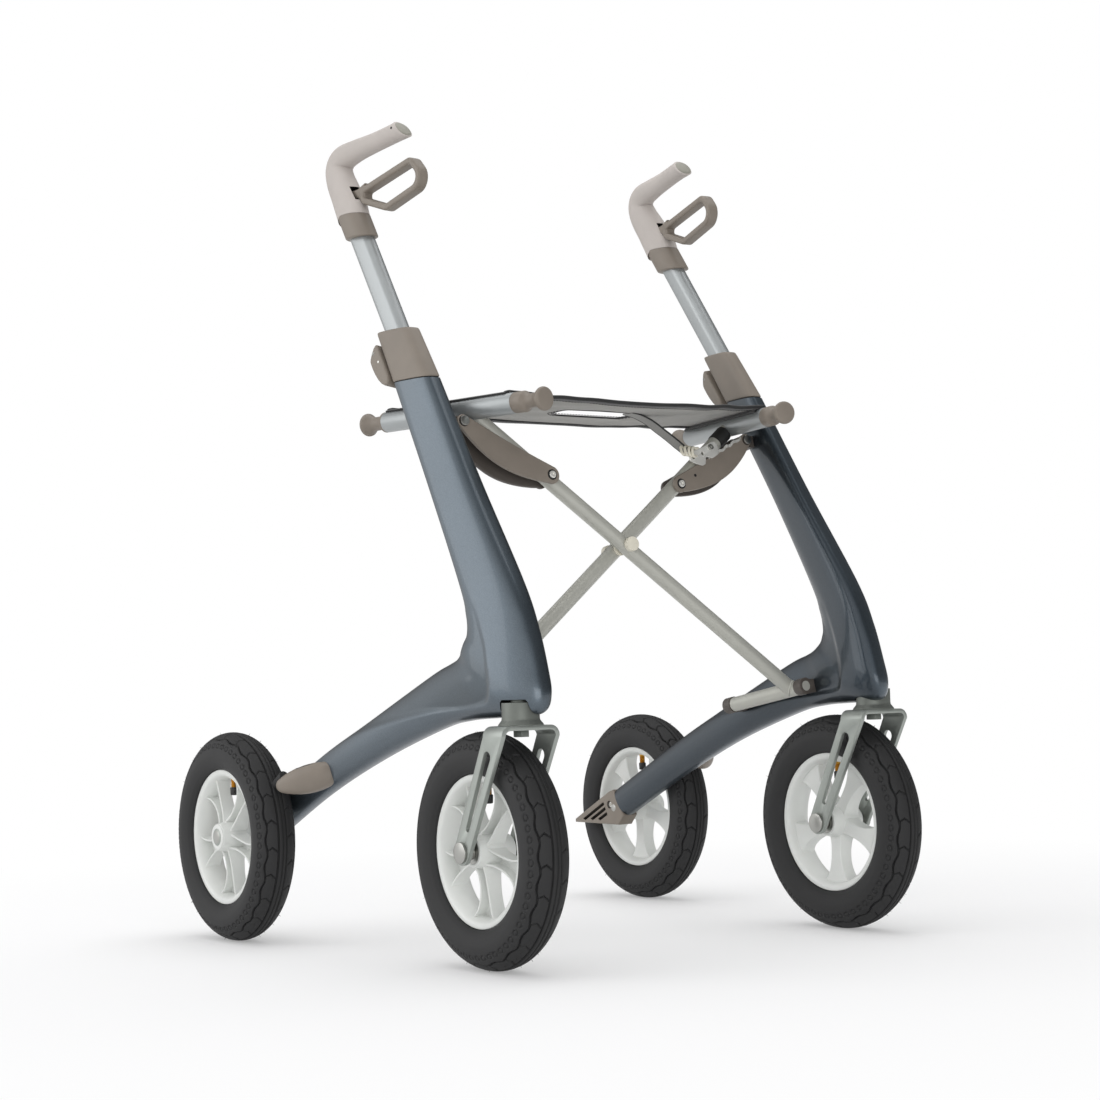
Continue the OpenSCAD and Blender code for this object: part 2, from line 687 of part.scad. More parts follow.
// One leg of the fork, in the plane across the wheel, with its long slot
module fork_leg() {
  top = crown_z - bend_r;
  half = crown_w / 2;
  lean = atan2(trail, top - axle_z);
  rotate([90, 0, 90]) linear_extrude(strap_t) difference() {
    union() {
      polygon([[stem_y - half, top], [stem_y + half, top],
               [front_y + fork_boss_r * cos(lean), axle_z + fork_boss_r * sin(lean)],
               [front_y - fork_boss_r * cos(lean), axle_z - fork_boss_r * sin(lean)]]);
      translate([front_y, axle_z]) circle(r = fork_boss_r);
    }
    translate([front_y, axle_z]) rotate(lean) translate([0, fork_boss_r * 1.9])
      leg_slot(norm([trail, top - axle_z]) - fork_boss_r * 3.2);
  }
}
module leg_slot(length) {
  translate([0, leg_slot_w / 4]) circle(d = leg_slot_w / 2);
  polygon([[-leg_slot_w / 4, leg_slot_w / 4], [leg_slot_w / 4, leg_slot_w / 4],
           [leg_slot_w / 2, length - leg_slot_w / 2], [-leg_slot_w / 2, length - leg_slot_w / 2]]);
  translate([0, length - leg_slot_w / 2]) circle(d = leg_slot_w);
}
module fork_stem(s) {
  flare = stem_flare_d / 2;
  neck = stem_neck_d / 2;
  shaft = stem_d / 2;
  neck_h = neck * 1.2;
  color([0.66, 0.67, 0.64]) at_caster(s) translate([0, stem_y, crown_z]) {
    rotate_extrude() polygon([[0, 0], [flare, 0], [flare, strap_t * 0.2], [neck * 1.02, strap_t * 1.1],
      [neck, strap_t * 1.6], [neck, neck_h], [shaft, neck_h], [shaft, stem_top_z - crown_z],
      [0, stem_top_z - crown_z]]);
    translate([0, 0, -strap_t - cut]) cylinder(d = stem_d * 0.5, h = strap_t + 2 * cut);
    translate([0, 0, -2.4 * strap_t]) cylinder(d = stem_d * 0.9, h = 1.4 * strap_t, $fn = 6);
  }
}
module front_axle(s) {
  color(steel) at_caster(s) translate([0, front_y, axle_z]) {
    translate([-fork_out - cut, 0, 0]) pin(axle_d, 2 * (fork_out + cut));
    for (e = [-1, 1]) {
      translate([e > 0 ? fork_out : -fork_out - strap_t * 0.6, 0, 0]) pin(fork_boss_r * 1.7, strap_t * 0.6);
      translate([e > 0 ? hub_w / 2 + part_gap : -fork_gap / 2, 0, 0])
        pin(axle_d * 1.6, fork_gap / 2 - hub_w / 2 - part_gap);
    }
  }
}
module rear_axle(s) {
  r = axle_d / 2;
  collar = axle_d * 0.8;
  inner = pedal_x - pedal_w / 2;
  shoulder = pedal_x + pedal_w / 2;
  hub_in = rear_x - hub_w / 2 - part_gap;
  hub_out = rear_x + hub_w / 2 + part_gap;
  color(steel) side(s) translate([0, rear_y, axle_z]) about_x() rotate_extrude() polygon([
    [0, inner], [r, inner], [r, shoulder], [collar, shoulder], [collar, hub_in], [r, hub_in],
    [r, hub_out], [collar, hub_out], [collar, hub_out + strap_t * 0.4], [0, hub_out + strap_t * 0.4]
  ]);
}

// Folding cross. The front tube rises to the left, the rear tube to the right.
cross_pin_d = cross_d * 0.45;
module cross_tube(s) {
  v = s * tube_v;
  top_x = seat_x - (s < 0 ? 2 * tube_v * cos(cross_lean) * tan(seat_splay) : 0);
  tube_len = norm([hinge_x + top_x, cross_rise * (1 + top_x / hinge_x)]);
  bar_start = -hinge_bar_len * 0.2;
  color(steel) difference() {
    fold_frame() {
      translate([-s * hinge_x, v, 0]) rotate([0, s * (90 - cross_angle), 0])
        cylinder(d = cross_d, h = tube_len);
      translate([-s * hinge_x, bar_start, 0]) rod(hinge_bar_d, hinge_bar_len);
      translate([-s * hinge_x, bar_start - block_len, 0]) rod(journal_d, hinge_bar_len + 2 * block_len);
      translate([s * link_pin_x, v - link_pin_reach, link_pin_w]) rod(link_bolt_d, 2 * link_pin_reach);
      if (s > 0) at_latch() rod(latch_pin_d, cross_d / 2);
    }
    at_seat_bar(s) translate([0, -seat_bar_front, 0]) rod(seat_bar_d, seat_bar_len);
    fold_frame() translate([0, v - cross_d, cross_rise])
      rod(cross_pin_d + (s < 0 ? 2 * run_gap : 0), 2 * cross_d);
  }
}
// Pivot pin of the cross with its light cap, spacer and rear cap
module cross_pivot() {
  cap = cross_d * 0.95;
  front = -tube_v - cross_d / 2;
  color([0.9, 0.88, 0.82]) fold_frame() translate([0, 0, cross_rise]) {
    translate([0, front - cross_d * 0.4, 0]) rod(cross_pin_d, 2 * tube_v + cross_d * 1.8);
    translate([0, front - cross_d * 0.4, 0]) rod(cap, cross_d * 0.4 - part_gap);
    translate([0, -cross_gap / 2 + part_gap, 0]) rod(cap, cross_gap - part_gap);
    translate([0, -front, 0]) rod(cap, cross_d * 0.4);
  }
}

// Fold link: a wide and a narrow cheek, each with a blind slot for the pin of its cross tube.
// The same link serves both sides, turned about, so the wide cheek is in front on the right.
link_pin_reach = cheek_v + slot_depth - part_gap;
module fold_link(s) {
  color(taupe) side(s) fold_frame() translate([link_x, s * tube_v, link_w]) rotate([0, -link_angle, 0])
    for (e = [-1, 1]) difference() {
      translate([0, e > 0 ? cheek_v : -cheek_v - cheek_t, 0]) upright() linear_extrude(cheek_t)
        link_outline(e * s < 0 ? 1 : 0.6);
      translate([0, e > 0 ? 0 : -cheek_v - cheek_t - cut, 0])
        rod(link_bolt_d + 2 * run_gap, cheek_v + cheek_t + cut);
      translate([0, e > 0 ? 0 : -cheek_v - slot_depth, 0])
        upright() linear_extrude(cheek_v + slot_depth) link_slot();
    }
}
// Stands a flat drawing up, so that its second axis points along Z and it is extruded along Y
module upright() {
  rotate([90, 0, 0]) mirror([0, 0, 1]) children();
}
// Cheek from the side: a crescent that bulges downwards, below the line of its two bolts
link_bulge = link_len * 0.2;
module link_outline(fullness) {
  depth = link_bulge * fullness;
  arc_r = (link_len * link_len / 4 + depth * depth) / (2 * depth);
  intersection() {
    translate([link_len / 2, depth - arc_r]) circle(r = arc_r + link_nose_r * 0.6, $fn = 96);
    translate([0, -link_nose_r * 0.8]) square([link_len, link_len / 2]);
  }
  circle(r = link_nose_r);
  translate([link_len, 0]) circle(r = pin_nose_r);
}
link_slot_w = link_bolt_d * 2.36;
module link_slot() {
  inner = link_len * 0.877;
  outer = link_len * 0.98;
  sag = link_bolt_d * 0.1;
  translate([inner, -link_slot_w / 2 - sag]) square([outer - inner, link_slot_w]);
  for (x = [inner, outer]) translate([x, -sag]) circle(d = link_slot_w);
}

// Bearing blocks for the hinge bar and the block that carries the link, let into the leg and arm
bracket_start = -hinge_bar_len * 0.2 - block_len;
bracket_starts = [bracket_start, bracket_start + hinge_bar_len + block_len];
link_block_depth = 2 * (cheek_v - part_gap);
module bracket_feet(s) {
  fold_frame() {
    for (v = bracket_starts) translate([hinge_x, v, -block_d * 0.4])
      cube([frame_thick * 0.5, block_len, block_d * 0.8]);
    translate([link_x, s * tube_v - link_block_depth / 2, link_w - link_nose_r * 0.8])
      cube([frame_x - tube_w / 2 - link_x, link_block_depth, link_nose_r * 1.6]);
  }
}
module hinge_brackets(s) {
  color(taupe) side(s) difference() {
    union() {
      bracket_feet(s);
      fold_frame() {
        for (v = bracket_starts) translate([hinge_x, v, 0]) rod(block_d, block_len);
        translate([link_x, s * tube_v - link_block_depth / 2, link_w])
          rod(link_nose_r * 1.6, link_block_depth);
      }
    }
    fold_frame() {
      translate([hinge_x, bracket_start - cut, 0])
        rod(journal_d + 2 * run_gap, hinge_bar_len + 2 * block_len + 2 * cut);
      translate([link_x, -cross_d * 2, link_w]) rod(link_bolt_d, cross_d * 4);
    }
  }
}
// Link bolt and clamp pin
module frame_screws(s) {
  color(steel) side(s) {
    fold_frame() translate([link_x, s * tube_v, link_w]) {
      reach = cheek_v + cheek_t + part_gap;
      translate([0, -reach, 0]) rod(link_bolt_d, 2 * reach);
      for (e = [-1, 1]) translate([0, e > 0 ? reach : -reach - bolt_head_h, 0]) rod(bolt_head_d, bolt_head_h);
    }
    handle_frame() translate([-lever_w / 2, clamp_pin_y, clamp_pin_z]) pin(clamp_pin_d, lever_w);
  }
}

// Seat bars, their caps, the sling and its strap. A bar runs along Y in its own frame.
module at_seat_bar(s) {
  side(s) translate([seat_x, seat_y, seat_z]) rotate([0, 0, -seat_splay]) children();
}
module seat_bar(s) {
  bore = seat_bar_d * 0.8;
  color(silver) at_seat_bar(s) translate([0, -seat_bar_front, 0]) difference() {
    rod(seat_bar_d, seat_bar_len);
    translate([0, -cut, 0]) rod(bore, seat_bar_len + 2 * cut);
  }
}
module seat_caps(s) {
  color(taupe) at_seat_bar(s) {
    translate([0, -seat_bar_front, 0]) rotate([90, 0, 0]) seat_cap(front_cap_len, 0.33);
    translate([0, seat_bar_rear, 0]) rotate([-90, 0, 0]) seat_cap(rear_cap_len, 0.08);
  }
}
// Cap: a plug in the bar, a shoulder, a neck and a knob
module seat_cap(length, shoulder_share) {
  plug = seat_bar_d * 0.4;
  shoulder = seat_bar_d / 2;
  neck = cap_d * 0.3;
  knob = cap_d / 2;
  rotate_extrude() polygon([[0, -plug], [plug, -plug], [plug, 0], [shoulder, 0],
    [shoulder, length * shoulder_share], [neck * 1.1, length * (shoulder_share + 0.08)],
    [neck, length * (shoulder_share + 0.14)], [neck, length - knob * 1.1],
    [neck * 1.2, length - knob * 0.8], [knob, length - knob * 0.35], [knob, length - knob * 0.15],
    [knob * 0.9, length], [0, length]]);
}
sling_points = 12;
function sling_at(x_share) = [x_share * bar_x(sling_front_y), sling_z - sling_sag * (1 - x_share * x_share)];
module seat_sling() {
  wide = bar_x(sling_rear_y);
  under = [for (k = [-sling_points : sling_points]) sling_at(k / sling_points)];
  over = [for (k = [sling_points : -1 : -sling_points]) sling_at(k / sling_points) + [0, sling_t]];
  ends = [[wide, sling_z], [wide, sling_z + sling_t]];
  far_ends = [[-wide, sling_z + sling_t], [-wide, sling_z]];
  color([0.3, 0.3, 0.29]) difference() {
    intersection() {
      translate([0, sling_rear_y, 0]) rotate([90, 0, 0]) linear_extrude(sling_rear_y - sling_front_y)
        polygon(concat(under, ends, over, far_ends));
      translate([0, 0, sling_z - sling_sag - cut]) linear_extrude(sling_sag + sling_t + 2 * cut)
        polygon([[-bar_x(sling_front_y), sling_front_y], [bar_x(sling_front_y), sling_front_y],
                 [wide, sling_rear_y], [-wide, sling_rear_y]]);
    }
    translate([0, sling_mid_y, sling_z - sling_sag - cut]) linear_extrude(sling_sag + sling_t + 2 * cut)
      rotate(90) oval(slot_w, slot_len);
  }
}
strap_from = [slot_len * 0.52, sling_z - sling_sag * 0.9 - sling_t * 0.7 - part_gap];
strap_to = [link_pin_x + latch_len * 0.45, fold_z + link_pin_w + latch_len * 0.6];
module pull_strap() {
  run = strap_to - strap_from;
  color([0.5, 0.5, 0.49]) translate([strap_from[0], sling_mid_y - strap_w * 0.5, strap_from[1]])
    rotate([0, -atan2(run[1], run[0]), 0]) cube([norm(run), strap_w, sling_t * 0.7]);
}

// Fold latch: a hooked plate that turns on a rivet in the rear cross tube
module at_latch() {
  translate([0, tube_v, cross_rise]) rotate([0, -cross_angle, 0])
    translate([latch_at, -cross_d / 2 - latch_t - 2 * part_gap, cross_d * 0.3]) children();
}
module fold_latch() {
  color(silver) fold_frame() at_latch() translate([0, part_gap, 0]) upright()
    linear_extrude(latch_t) difference() {
    latch_outline();
    circle(d = latch_pin_d + 2 * run_gap);
  }
}
module latch_outline() {
  bar = cross_d * 0.5;
  translate([-latch_len * 0.1, 0]) square([latch_len * 0.7, bar]);
  translate([-latch_len * 0.1, bar / 2]) circle(d = bar);
  circle(d = bar);
  translate([latch_len * 0.45, -cross_d * 0.4]) square([latch_len * 0.15, bar]);
}

side_frame(-1);  // left_side_frame
clamp_collar(-1);  // left_clamp_collar
hinge_brackets(-1);  // left_hinge_brackets
brake_pod(-1);  // left_brake_pod
kerb_pedal(-1);  // left_kerb_pedal
rear_axle(-1);  // left_rear_axle
frame_screws(-1);  // left_frame_screws
side_frame(1);  // right_side_frame
clamp_collar(1);  // right_clamp_collar
hinge_brackets(1);  // right_hinge_brackets
brake_pod(1);  // right_brake_pod
kerb_pedal(1);  // right_kerb_pedal
rear_axle(1);  // right_rear_axle
frame_screws(1);  // right_frame_screws
handle_tube(-1);  // left_handle_tube
grip_collar(-1);  // left_grip_collar
grip(-1);  // left_grip
handle_tube(1);  // right_handle_tube
grip_collar(1);  // right_grip_collar
grip(1);  // right_grip
brake_lever(-1);  // left_brake_lever
brake_lever(1);  // right_brake_lever
clamp_lever(-1);  // left_clamp_lever
clamp_lever(1);  // right_clamp_lever
brake_shoe(-1);  // left_brake_shoe
brake_shoe(1);  // right_brake_shoe
fork(-1);  // left_fork
fork_stem(-1);  // left_fork_stem
front_axle(-1);  // left_front_axle
fork(1);  // right_fork
fork_stem(1);  // right_fork_stem
front_axle(1);  // right_front_axle
tyre(true, -1);  // left_front_tyre
rim(true, -1);  // left_front_rim
bearings(true, -1);  // left_front_bearings
inner_tube(true, -1);  // left_front_inner_tube
tyre(true, 1);  // right_front_tyre
rim(true, 1);  // right_front_rim
bearings(true, 1);  // right_front_bearings
inner_tube(true, 1);  // right_front_inner_tube
tyre(false, -1);  // left_rear_tyre
rim(false, -1);  // left_rear_rim
bearings(false, -1);  // left_rear_bearings
inner_tube(false, -1);  // left_rear_inner_tube
tyre(false, 1);  // right_rear_tyre
rim(false, 1);  // right_rear_rim
bearings(false, 1);  // right_rear_bearings
inner_tube(false, 1);  // right_rear_inner_tube
cross_tube(-1);  // front_cross_tube
cross_tube(1);  // rear_cross_tube
cross_pivot();
seat_bar(-1);  // left_seat_bar
seat_bar(1);  // right_seat_bar
seat_caps(-1);  // left_seat_caps
seat_caps(1);  // right_seat_caps
fold_link(-1);  // left_fold_link
fold_link(1);  // right_fold_link
fold_latch();
seat_sling();
pull_strap();
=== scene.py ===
# %% [markdown]
# # Dressing an all terrain rollator
# The CAD model gives every piece its place and its size. This lesson puts the looks on it: one
# cell says what a piece is on the real thing and why it is made this way, and the next makes it.
# Sizes are written in millimetres, as in a workshop drawing, and become metres when a piece is made.

# %% Load the frame
import math

import bmesh
import bpy
import numpy as np
from mathutils import Matrix, Vector


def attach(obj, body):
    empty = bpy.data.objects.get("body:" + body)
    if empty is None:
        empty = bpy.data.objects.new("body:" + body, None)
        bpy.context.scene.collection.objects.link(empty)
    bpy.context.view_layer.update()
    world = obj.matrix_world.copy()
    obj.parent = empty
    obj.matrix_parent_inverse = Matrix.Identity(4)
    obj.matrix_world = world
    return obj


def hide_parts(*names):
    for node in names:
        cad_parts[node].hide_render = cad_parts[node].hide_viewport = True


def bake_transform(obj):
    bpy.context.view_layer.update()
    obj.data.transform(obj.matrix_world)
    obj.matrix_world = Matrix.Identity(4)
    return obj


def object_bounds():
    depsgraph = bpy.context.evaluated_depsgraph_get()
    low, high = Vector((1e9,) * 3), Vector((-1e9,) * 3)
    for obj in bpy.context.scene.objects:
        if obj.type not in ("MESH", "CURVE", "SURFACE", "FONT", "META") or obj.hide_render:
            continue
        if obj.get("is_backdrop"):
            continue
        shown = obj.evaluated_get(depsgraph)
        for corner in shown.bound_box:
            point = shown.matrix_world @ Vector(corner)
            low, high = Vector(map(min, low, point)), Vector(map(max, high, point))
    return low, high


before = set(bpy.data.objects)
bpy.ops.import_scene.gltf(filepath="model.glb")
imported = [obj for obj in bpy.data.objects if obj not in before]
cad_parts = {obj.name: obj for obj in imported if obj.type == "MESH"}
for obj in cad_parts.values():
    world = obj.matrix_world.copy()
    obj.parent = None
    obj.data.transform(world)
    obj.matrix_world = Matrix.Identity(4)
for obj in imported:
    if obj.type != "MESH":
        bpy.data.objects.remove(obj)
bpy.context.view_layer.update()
MM = 0.001
SIDES = (("left", -1), ("right", 1))

# %% [markdown]
# ## Camera
# The camera was solved from the four wheels, whose rims and ground contacts the photograph shows on
# both sides. It looks slightly up, from ahead and to the left, with a short telephoto lens. A camera
# could also be placed by eye, but a solved one lets every other length be read through it.

# %% Camera
PHOTO_SIZE, SENSOR_W = 1100, 36
FOCAL_PIXELS = 2152.7
YAW, PITCH, ROLL = 0.6074, 0.0595, -0.0312
CAMERA_AT = Vector((-1507.04, -2174.6, 308.15)) * MM

look = Vector((math.sin(YAW) * math.cos(PITCH), math.cos(YAW) * math.cos(PITCH), math.sin(PITCH)))
level = Vector((math.cos(YAW), -math.sin(YAW), 0))
upright = level.cross(look)
right = level * math.cos(ROLL) + upright * math.sin(ROLL)
up = upright * math.cos(ROLL) - level * math.sin(ROLL)

camera_data = bpy.data.cameras.new("photo_camera")
camera_data.sensor_width = SENSOR_W
camera_data.lens = FOCAL_PIXELS * SENSOR_W / PHOTO_SIZE
camera = bpy.data.objects.new("photo_camera", camera_data)
camera.matrix_world = Matrix((
    (right.x, up.x, -look.x, CAMERA_AT.x),
    (right.y, up.y, -look.y, CAMERA_AT.y),
    (right.z, up.z, -look.z, CAMERA_AT.z),
    (0, 0, 0, 1),
))
bpy.context.scene.collection.objects.link(camera)
bpy.context.scene.camera = camera
bpy.context.scene.view_settings.view_transform = "Standard"
print("camera: lens", round(camera_data.lens, 2), "mm")

# %% [markdown]
# ## Node helpers
# A finish is a small graph of nodes. These helpers write a graph in a few lines: a node is made with
# its settings, and each of its sockets is fed a plain value or the output of another node.


# %% Node helpers
def feed(tree, node, sockets):
    """Gives a node's sockets a value or another node's output."""
    for name, value in sockets.items():
        if isinstance(value, bpy.types.NodeSocket):
            tree.links.new(value, node.inputs[name])
        else:
            node.inputs[name].default_value = value


def add(tree, kind, sockets=None, **settings):
    node = tree.nodes.new(kind)
    for name, value in settings.items():
        setattr(node, name, value)
    feed(tree, node, sockets or {})
    return node


def math_node(tree, operation, first, second=0):
    return add(tree, "ShaderNodeMath", {0: first, 1: second}, operation=operation).outputs[0]


def multiplied(tree, colour, by, share):
    """A colour multiplied by another, as far as the share says."""
    mix = add(tree, "ShaderNodeMix", {0: share, 6: colour, 7: by}, data_type="RGBA", blend_type="MULTIPLY")
    return mix.outputs[2]


def new_material(name, kind="ShaderNodeBsdfPrincipled"):
    """A material of one shader node, which is fed afterwards."""
    material = bpy.data.materials.new(name)
    material.use_nodes = True
    tree = material.node_tree
    tree.nodes.clear()
    shader = add(tree, kind)
    add(tree, "ShaderNodeOutputMaterial", {"Surface": shader.outputs[0]})
    return material, tree, shader


# %% [markdown]
# ## Studio
# A white sweep under big soft lamps. Rays that mirror off metal and lacquer see a room that is bright
# low on the left and falls off upwards and to the right. The camera itself sees plain white all round.
# A photographed room could light it too; a few nodes need no file.

# %% Room
WHITE, AMBIENT, BRIGHT_SIDE = (1, 1, 1, 1), 0.66, (-0.9, 0.2, -0.3)
world = bpy.data.worlds.new("studio")
bpy.context.scene.world = world
world.use_nodes = True
tree = world.node_tree
tree.nodes.clear()
rays = add(tree, "ShaderNodeLightPath").outputs
mirrored = math_node(tree, "MAXIMUM", rays["Is Glossy Ray"], rays["Is Transmission Ray"])
direct = math_node(tree, "MAXIMUM", rays["Is Camera Ray"], mirrored)
direction = add(tree, "ShaderNodeTexCoord").outputs["Generated"]
towards = add(tree, "ShaderNodeVectorMath", {0: direction, 1: BRIGHT_SIDE}, operation="DOT_PRODUCT")
room = add(tree, "ShaderNodeMapRange", {"Value": towards.outputs["Value"], "From Min": -0.3, "From Max": 1.0,
                                        "To Min": 0.12, "To Max": 1.45}, interpolation_type="SMOOTHSTEP")
strength = math_node(tree, "MAXIMUM", room.outputs[0], rays["Is Camera Ray"])
ambient = add(tree, "ShaderNodeBackground", {"Color": WHITE, "Strength": AMBIENT})
seen = add(tree, "ShaderNodeBackground", {"Color": WHITE, "Strength": strength})
either = add(tree, "ShaderNodeMixShader", {0: direct, 1: ambient.outputs[0], 2: seen.outputs[0]})
add(tree, "ShaderNodeOutputWorld", {"Surface": either.outputs[0]})
print("room:", len(tree.nodes), "nodes")


# %% Lamps
def soft_lamp(name, place, target, size, power):
    data = bpy.data.lights.new(name, "AREA")
    data.shape = "RECTANGLE"
    data.size, data.size_y = size
    data.energy = power
    lamp = bpy.data.objects.new(name, data)
    lamp.location = place
    lamp.rotation_euler = (Vector(target) - Vector(place)).to_track_quat("-Z", "Y").to_euler()
    lamp.visible_camera = False
    bpy.context.scene.collection.objects.link(lamp)


soft_lamp("overhead", (0.2, 0.3, 3.0), (0, 0, 0.4), (3.0, 3.0), 38)
soft_lamp("left_wall", (-2.7, 1.5, 1.5), (0, 0, 0.45), (2.2, 2.6), 20)
soft_lamp("front_wall", (-1.5, -3.0, 0.6), (0, 0, 0.4), (2.2, 1.2), 22)
print("lamps:", len(bpy.data.lights))

# %% [markdown]
# The floor near the object takes shadows; further out it fades to plain white, so there is no horizon.
# Light that bounces off it meets a plain matt surface. Only the camera and mirrors see the glow that
# lifts it towards white.

# %% Floor
FLOOR_HALF, SHADOW_REACH, WHITE_REACH = 14, 0.55, 1.5
floor_mesh = bpy.data.meshes.new("floor")
floor_mesh.from_pydata([(x * FLOOR_HALF, y * FLOOR_HALF, 0) for x, y in ((-1, -1), (1, -1), (1, 1), (-1, 1))],
                       [], [(0, 1, 2, 3)])
floor = bpy.data.objects.new("floor", floor_mesh)
bpy.context.scene.collection.objects.link(floor)
SWEEP, tree, surface = new_material("white_sweep", "ShaderNodeMixShader")
matt = add(tree, "ShaderNodeBsdfDiffuse", {"Color": (0.8, 0.8, 0.8, 1)})
half_matt = add(tree, "ShaderNodeBsdfDiffuse", {"Color": (0.66, 0.66, 0.665, 1)})
glow = add(tree, "ShaderNodeEmission", {"Strength": 0.28})
lit = add(tree, "ShaderNodeAddShader", {0: half_matt.outputs[0], 1: glow.outputs[0]})
plain = add(tree, "ShaderNodeEmission", {"Strength": 1.0})
where = add(tree, "ShaderNodeTexCoord").outputs["Object"]
far = add(tree, "ShaderNodeVectorMath", {0: where}, operation="LENGTH").outputs["Value"]
fade = add(tree, "ShaderNodeMapRange", {"Value": far, "From Min": SHADOW_REACH, "From Max": WHITE_REACH},
           interpolation_type="SMOOTHSTEP")
sweep = add(tree, "ShaderNodeMixShader", {0: fade.outputs[0], 1: lit.outputs[0], 2: plain.outputs[0]})
rays = add(tree, "ShaderNodeLightPath").outputs
shown = math_node(tree, "MAXIMUM", rays["Is Camera Ray"], rays["Is Glossy Ray"])
feed(tree, surface, {0: shown, 1: matt.outputs[0], 2: sweep.outputs[0]})
floor_mesh.materials.append(SWEEP)
floor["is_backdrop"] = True
print("floor:", 2 * FLOOR_HALF, "m wide")

# %% [markdown]
# ## Finishes
# Most mouldings differ only in colour, gloss and grain, so one recipe serves them: a coarse noise
# mottles the colour and the gloss a little, and a fine noise gives the grain as a bump. A graph for
# each would do as well, but they would drift apart. Noise reads Object coordinates, which are metres
# here, so a scale of 2000 is a half millimetre grain.

# %% One recipe for mouldings and metals
GLOSS_SPREAD = 0.06


def paint(red, green, blue):
    """Linear colour from the 0 to 255 values of a paint chart."""
    def linear(v):
        v /= 255
        return v / 12.92 if v <= 0.04045 else ((v + 0.055) / 1.055) ** 2.4
    return (linear(red), linear(green), linear(blue), 1)


def shade(colour, share):
    return tuple(min(1, c * share) for c in colour[:3]) + (1,)


def finish(name, colour, roughness, metallic=0.0, mottle=0.06, mottle_scale=35, grain=0.15, grain_scale=1400,
           depth=0.0002):
    material, tree, shader = new_material(name)
    places = add(tree, "ShaderNodeTexCoord").outputs["Object"]
    coarse = add(tree, "ShaderNodeTexNoise", {"Vector": places, "Scale": mottle_scale, "Detail": 5})
    fine = add(tree, "ShaderNodeTexNoise", {"Vector": places, "Scale": grain_scale, "Detail": 2})
    tint = add(tree, "ShaderNodeValToRGB", {0: coarse.outputs["Fac"]})
    stops = tint.color_ramp.elements
    stops[0].position, stops[1].position = 0.3, 0.7
    stops[0].color, stops[1].color = shade(colour, 1 - mottle), shade(colour, 1 + mottle)
    gloss = add(tree, "ShaderNodeMapRange", {"Value": coarse.outputs["Fac"], "To Min": roughness - GLOSS_SPREAD,
                                             "To Max": roughness + GLOSS_SPREAD})
    bump = add(tree, "ShaderNodeBump", {"Height": fine.outputs["Fac"], "Strength": grain, "Distance": depth})
    feed(tree, shader, {"Base Color": tint.outputs[0], "Roughness": gloss.outputs[0],
                        "Normal": bump.outputs[0], "Metallic": metallic})
    return material


# %% Mouldings
TAUPE = finish("taupe_moulding", paint(130, 121, 111), 0.5, grain=0.22, grain_scale=1800)
# A darker taupe for the hinge brackets; on the rear link cheeks and on the walls of recesses and slots it is painted
# shade.
DARK_TAUPE_AND_SHADE = finish("dark_moulding_and_shade", paint(84, 78, 73), 0.5, grain=0.2, grain_scale=1800)
SOFT_GRIP = finish("soft_grip", paint(192, 185, 180), 0.66, mottle=0.035, grain=0.25, grain_scale=2600)
GRIP_END = finish("grip_end", paint(150, 148, 138), 0.55, grain=0.2, grain_scale=2600)
RIM_WHITE = finish("rim_white", paint(228, 230, 227), 0.36, mottle=0.02, grain=0.06)
CREAM = finish("cream_nylon", paint(226, 221, 205), 0.45, mottle=0.03, grain=0.1)
BLACK = finish("black_plastic", paint(34, 34, 34), 0.5)
SHADOW_GAP = finish("shadow_gap", paint(22, 22, 23), 0.8, grain=0.05)
RUBBER = finish("tyre_rubber", paint(31, 31, 32), 0.68, mottle=0.14, mottle_scale=60, grain=0.3, grain_scale=900)
print("mouldings and rubber: eight mouldings, one rubber")

# %% Metals
SILVER = finish("satin_silver", paint(164, 168, 169), 0.4, 0.6, mottle=0.03, grain=0.02, depth=1e-5)
CHAMPAGNE = finish("satin_champagne", paint(184, 184, 176), 0.36, 0.2, mottle=0.04, grain=0.02, depth=1e-5)
CAST = finish("cast_grey", paint(160, 165, 160), 0.42, 0.6, mottle=0.05, grain=0.05, grain_scale=1100, depth=3e-5)
DARK_CAST = finish("dark_cast", paint(110, 114, 109), 0.46, 0.5, grain=0.1, depth=3e-5)
TURNED = finish("turned_steel", paint(168, 168, 164), 0.30, 1.0, grain=0.04, depth=2e-5)
BRIGHT = finish("bright_plate", paint(232, 231, 226), 0.26, 0.45, grain=0.03, depth=2e-5)
BRASS = finish("valve_brass", paint(196, 152, 70), 0.28, 1.0, grain=0.05)
print("finishes:", len(bpy.data.materials))

# %% [markdown]
# The side frames carry a metallic lacquer: a blue-grey base with fine flakes under a clear coat.
# The flakes are a Voronoi pattern of tiny cells that each shine a little differently, and the
# clear coat is the shader's own coat layer, which keeps the sharp studio reflections. The faces
# towards the seat are darkened with painted shade, and the set-back panel with a lighter painted
# shade; attributes of the mesh turn them on.

# %% Metallic lacquer
FLAKE_SCALE, CLOUD_SCALE = 2600, 9
LACQUER, tree, shader = new_material("blue_grey_lacquer")
places = add(tree, "ShaderNodeTexCoord").outputs["Object"]
flakes = add(tree, "ShaderNodeTexVoronoi", {"Vector": places, "Scale": FLAKE_SCALE})
cloud = add(tree, "ShaderNodeTexNoise", {"Vector": places, "Scale": CLOUD_SCALE}).outputs["Fac"]
flake_tint = add(tree, "ShaderNodeValToRGB", {0: flakes.outputs["Color"]})
flake_tint.color_ramp.elements[0].color = paint(80, 89, 97)
flake_tint.color_ramp.elements[1].color = paint(104, 115, 124)
colour = multiplied(tree, flake_tint.outputs[0], cloud, 0.25)
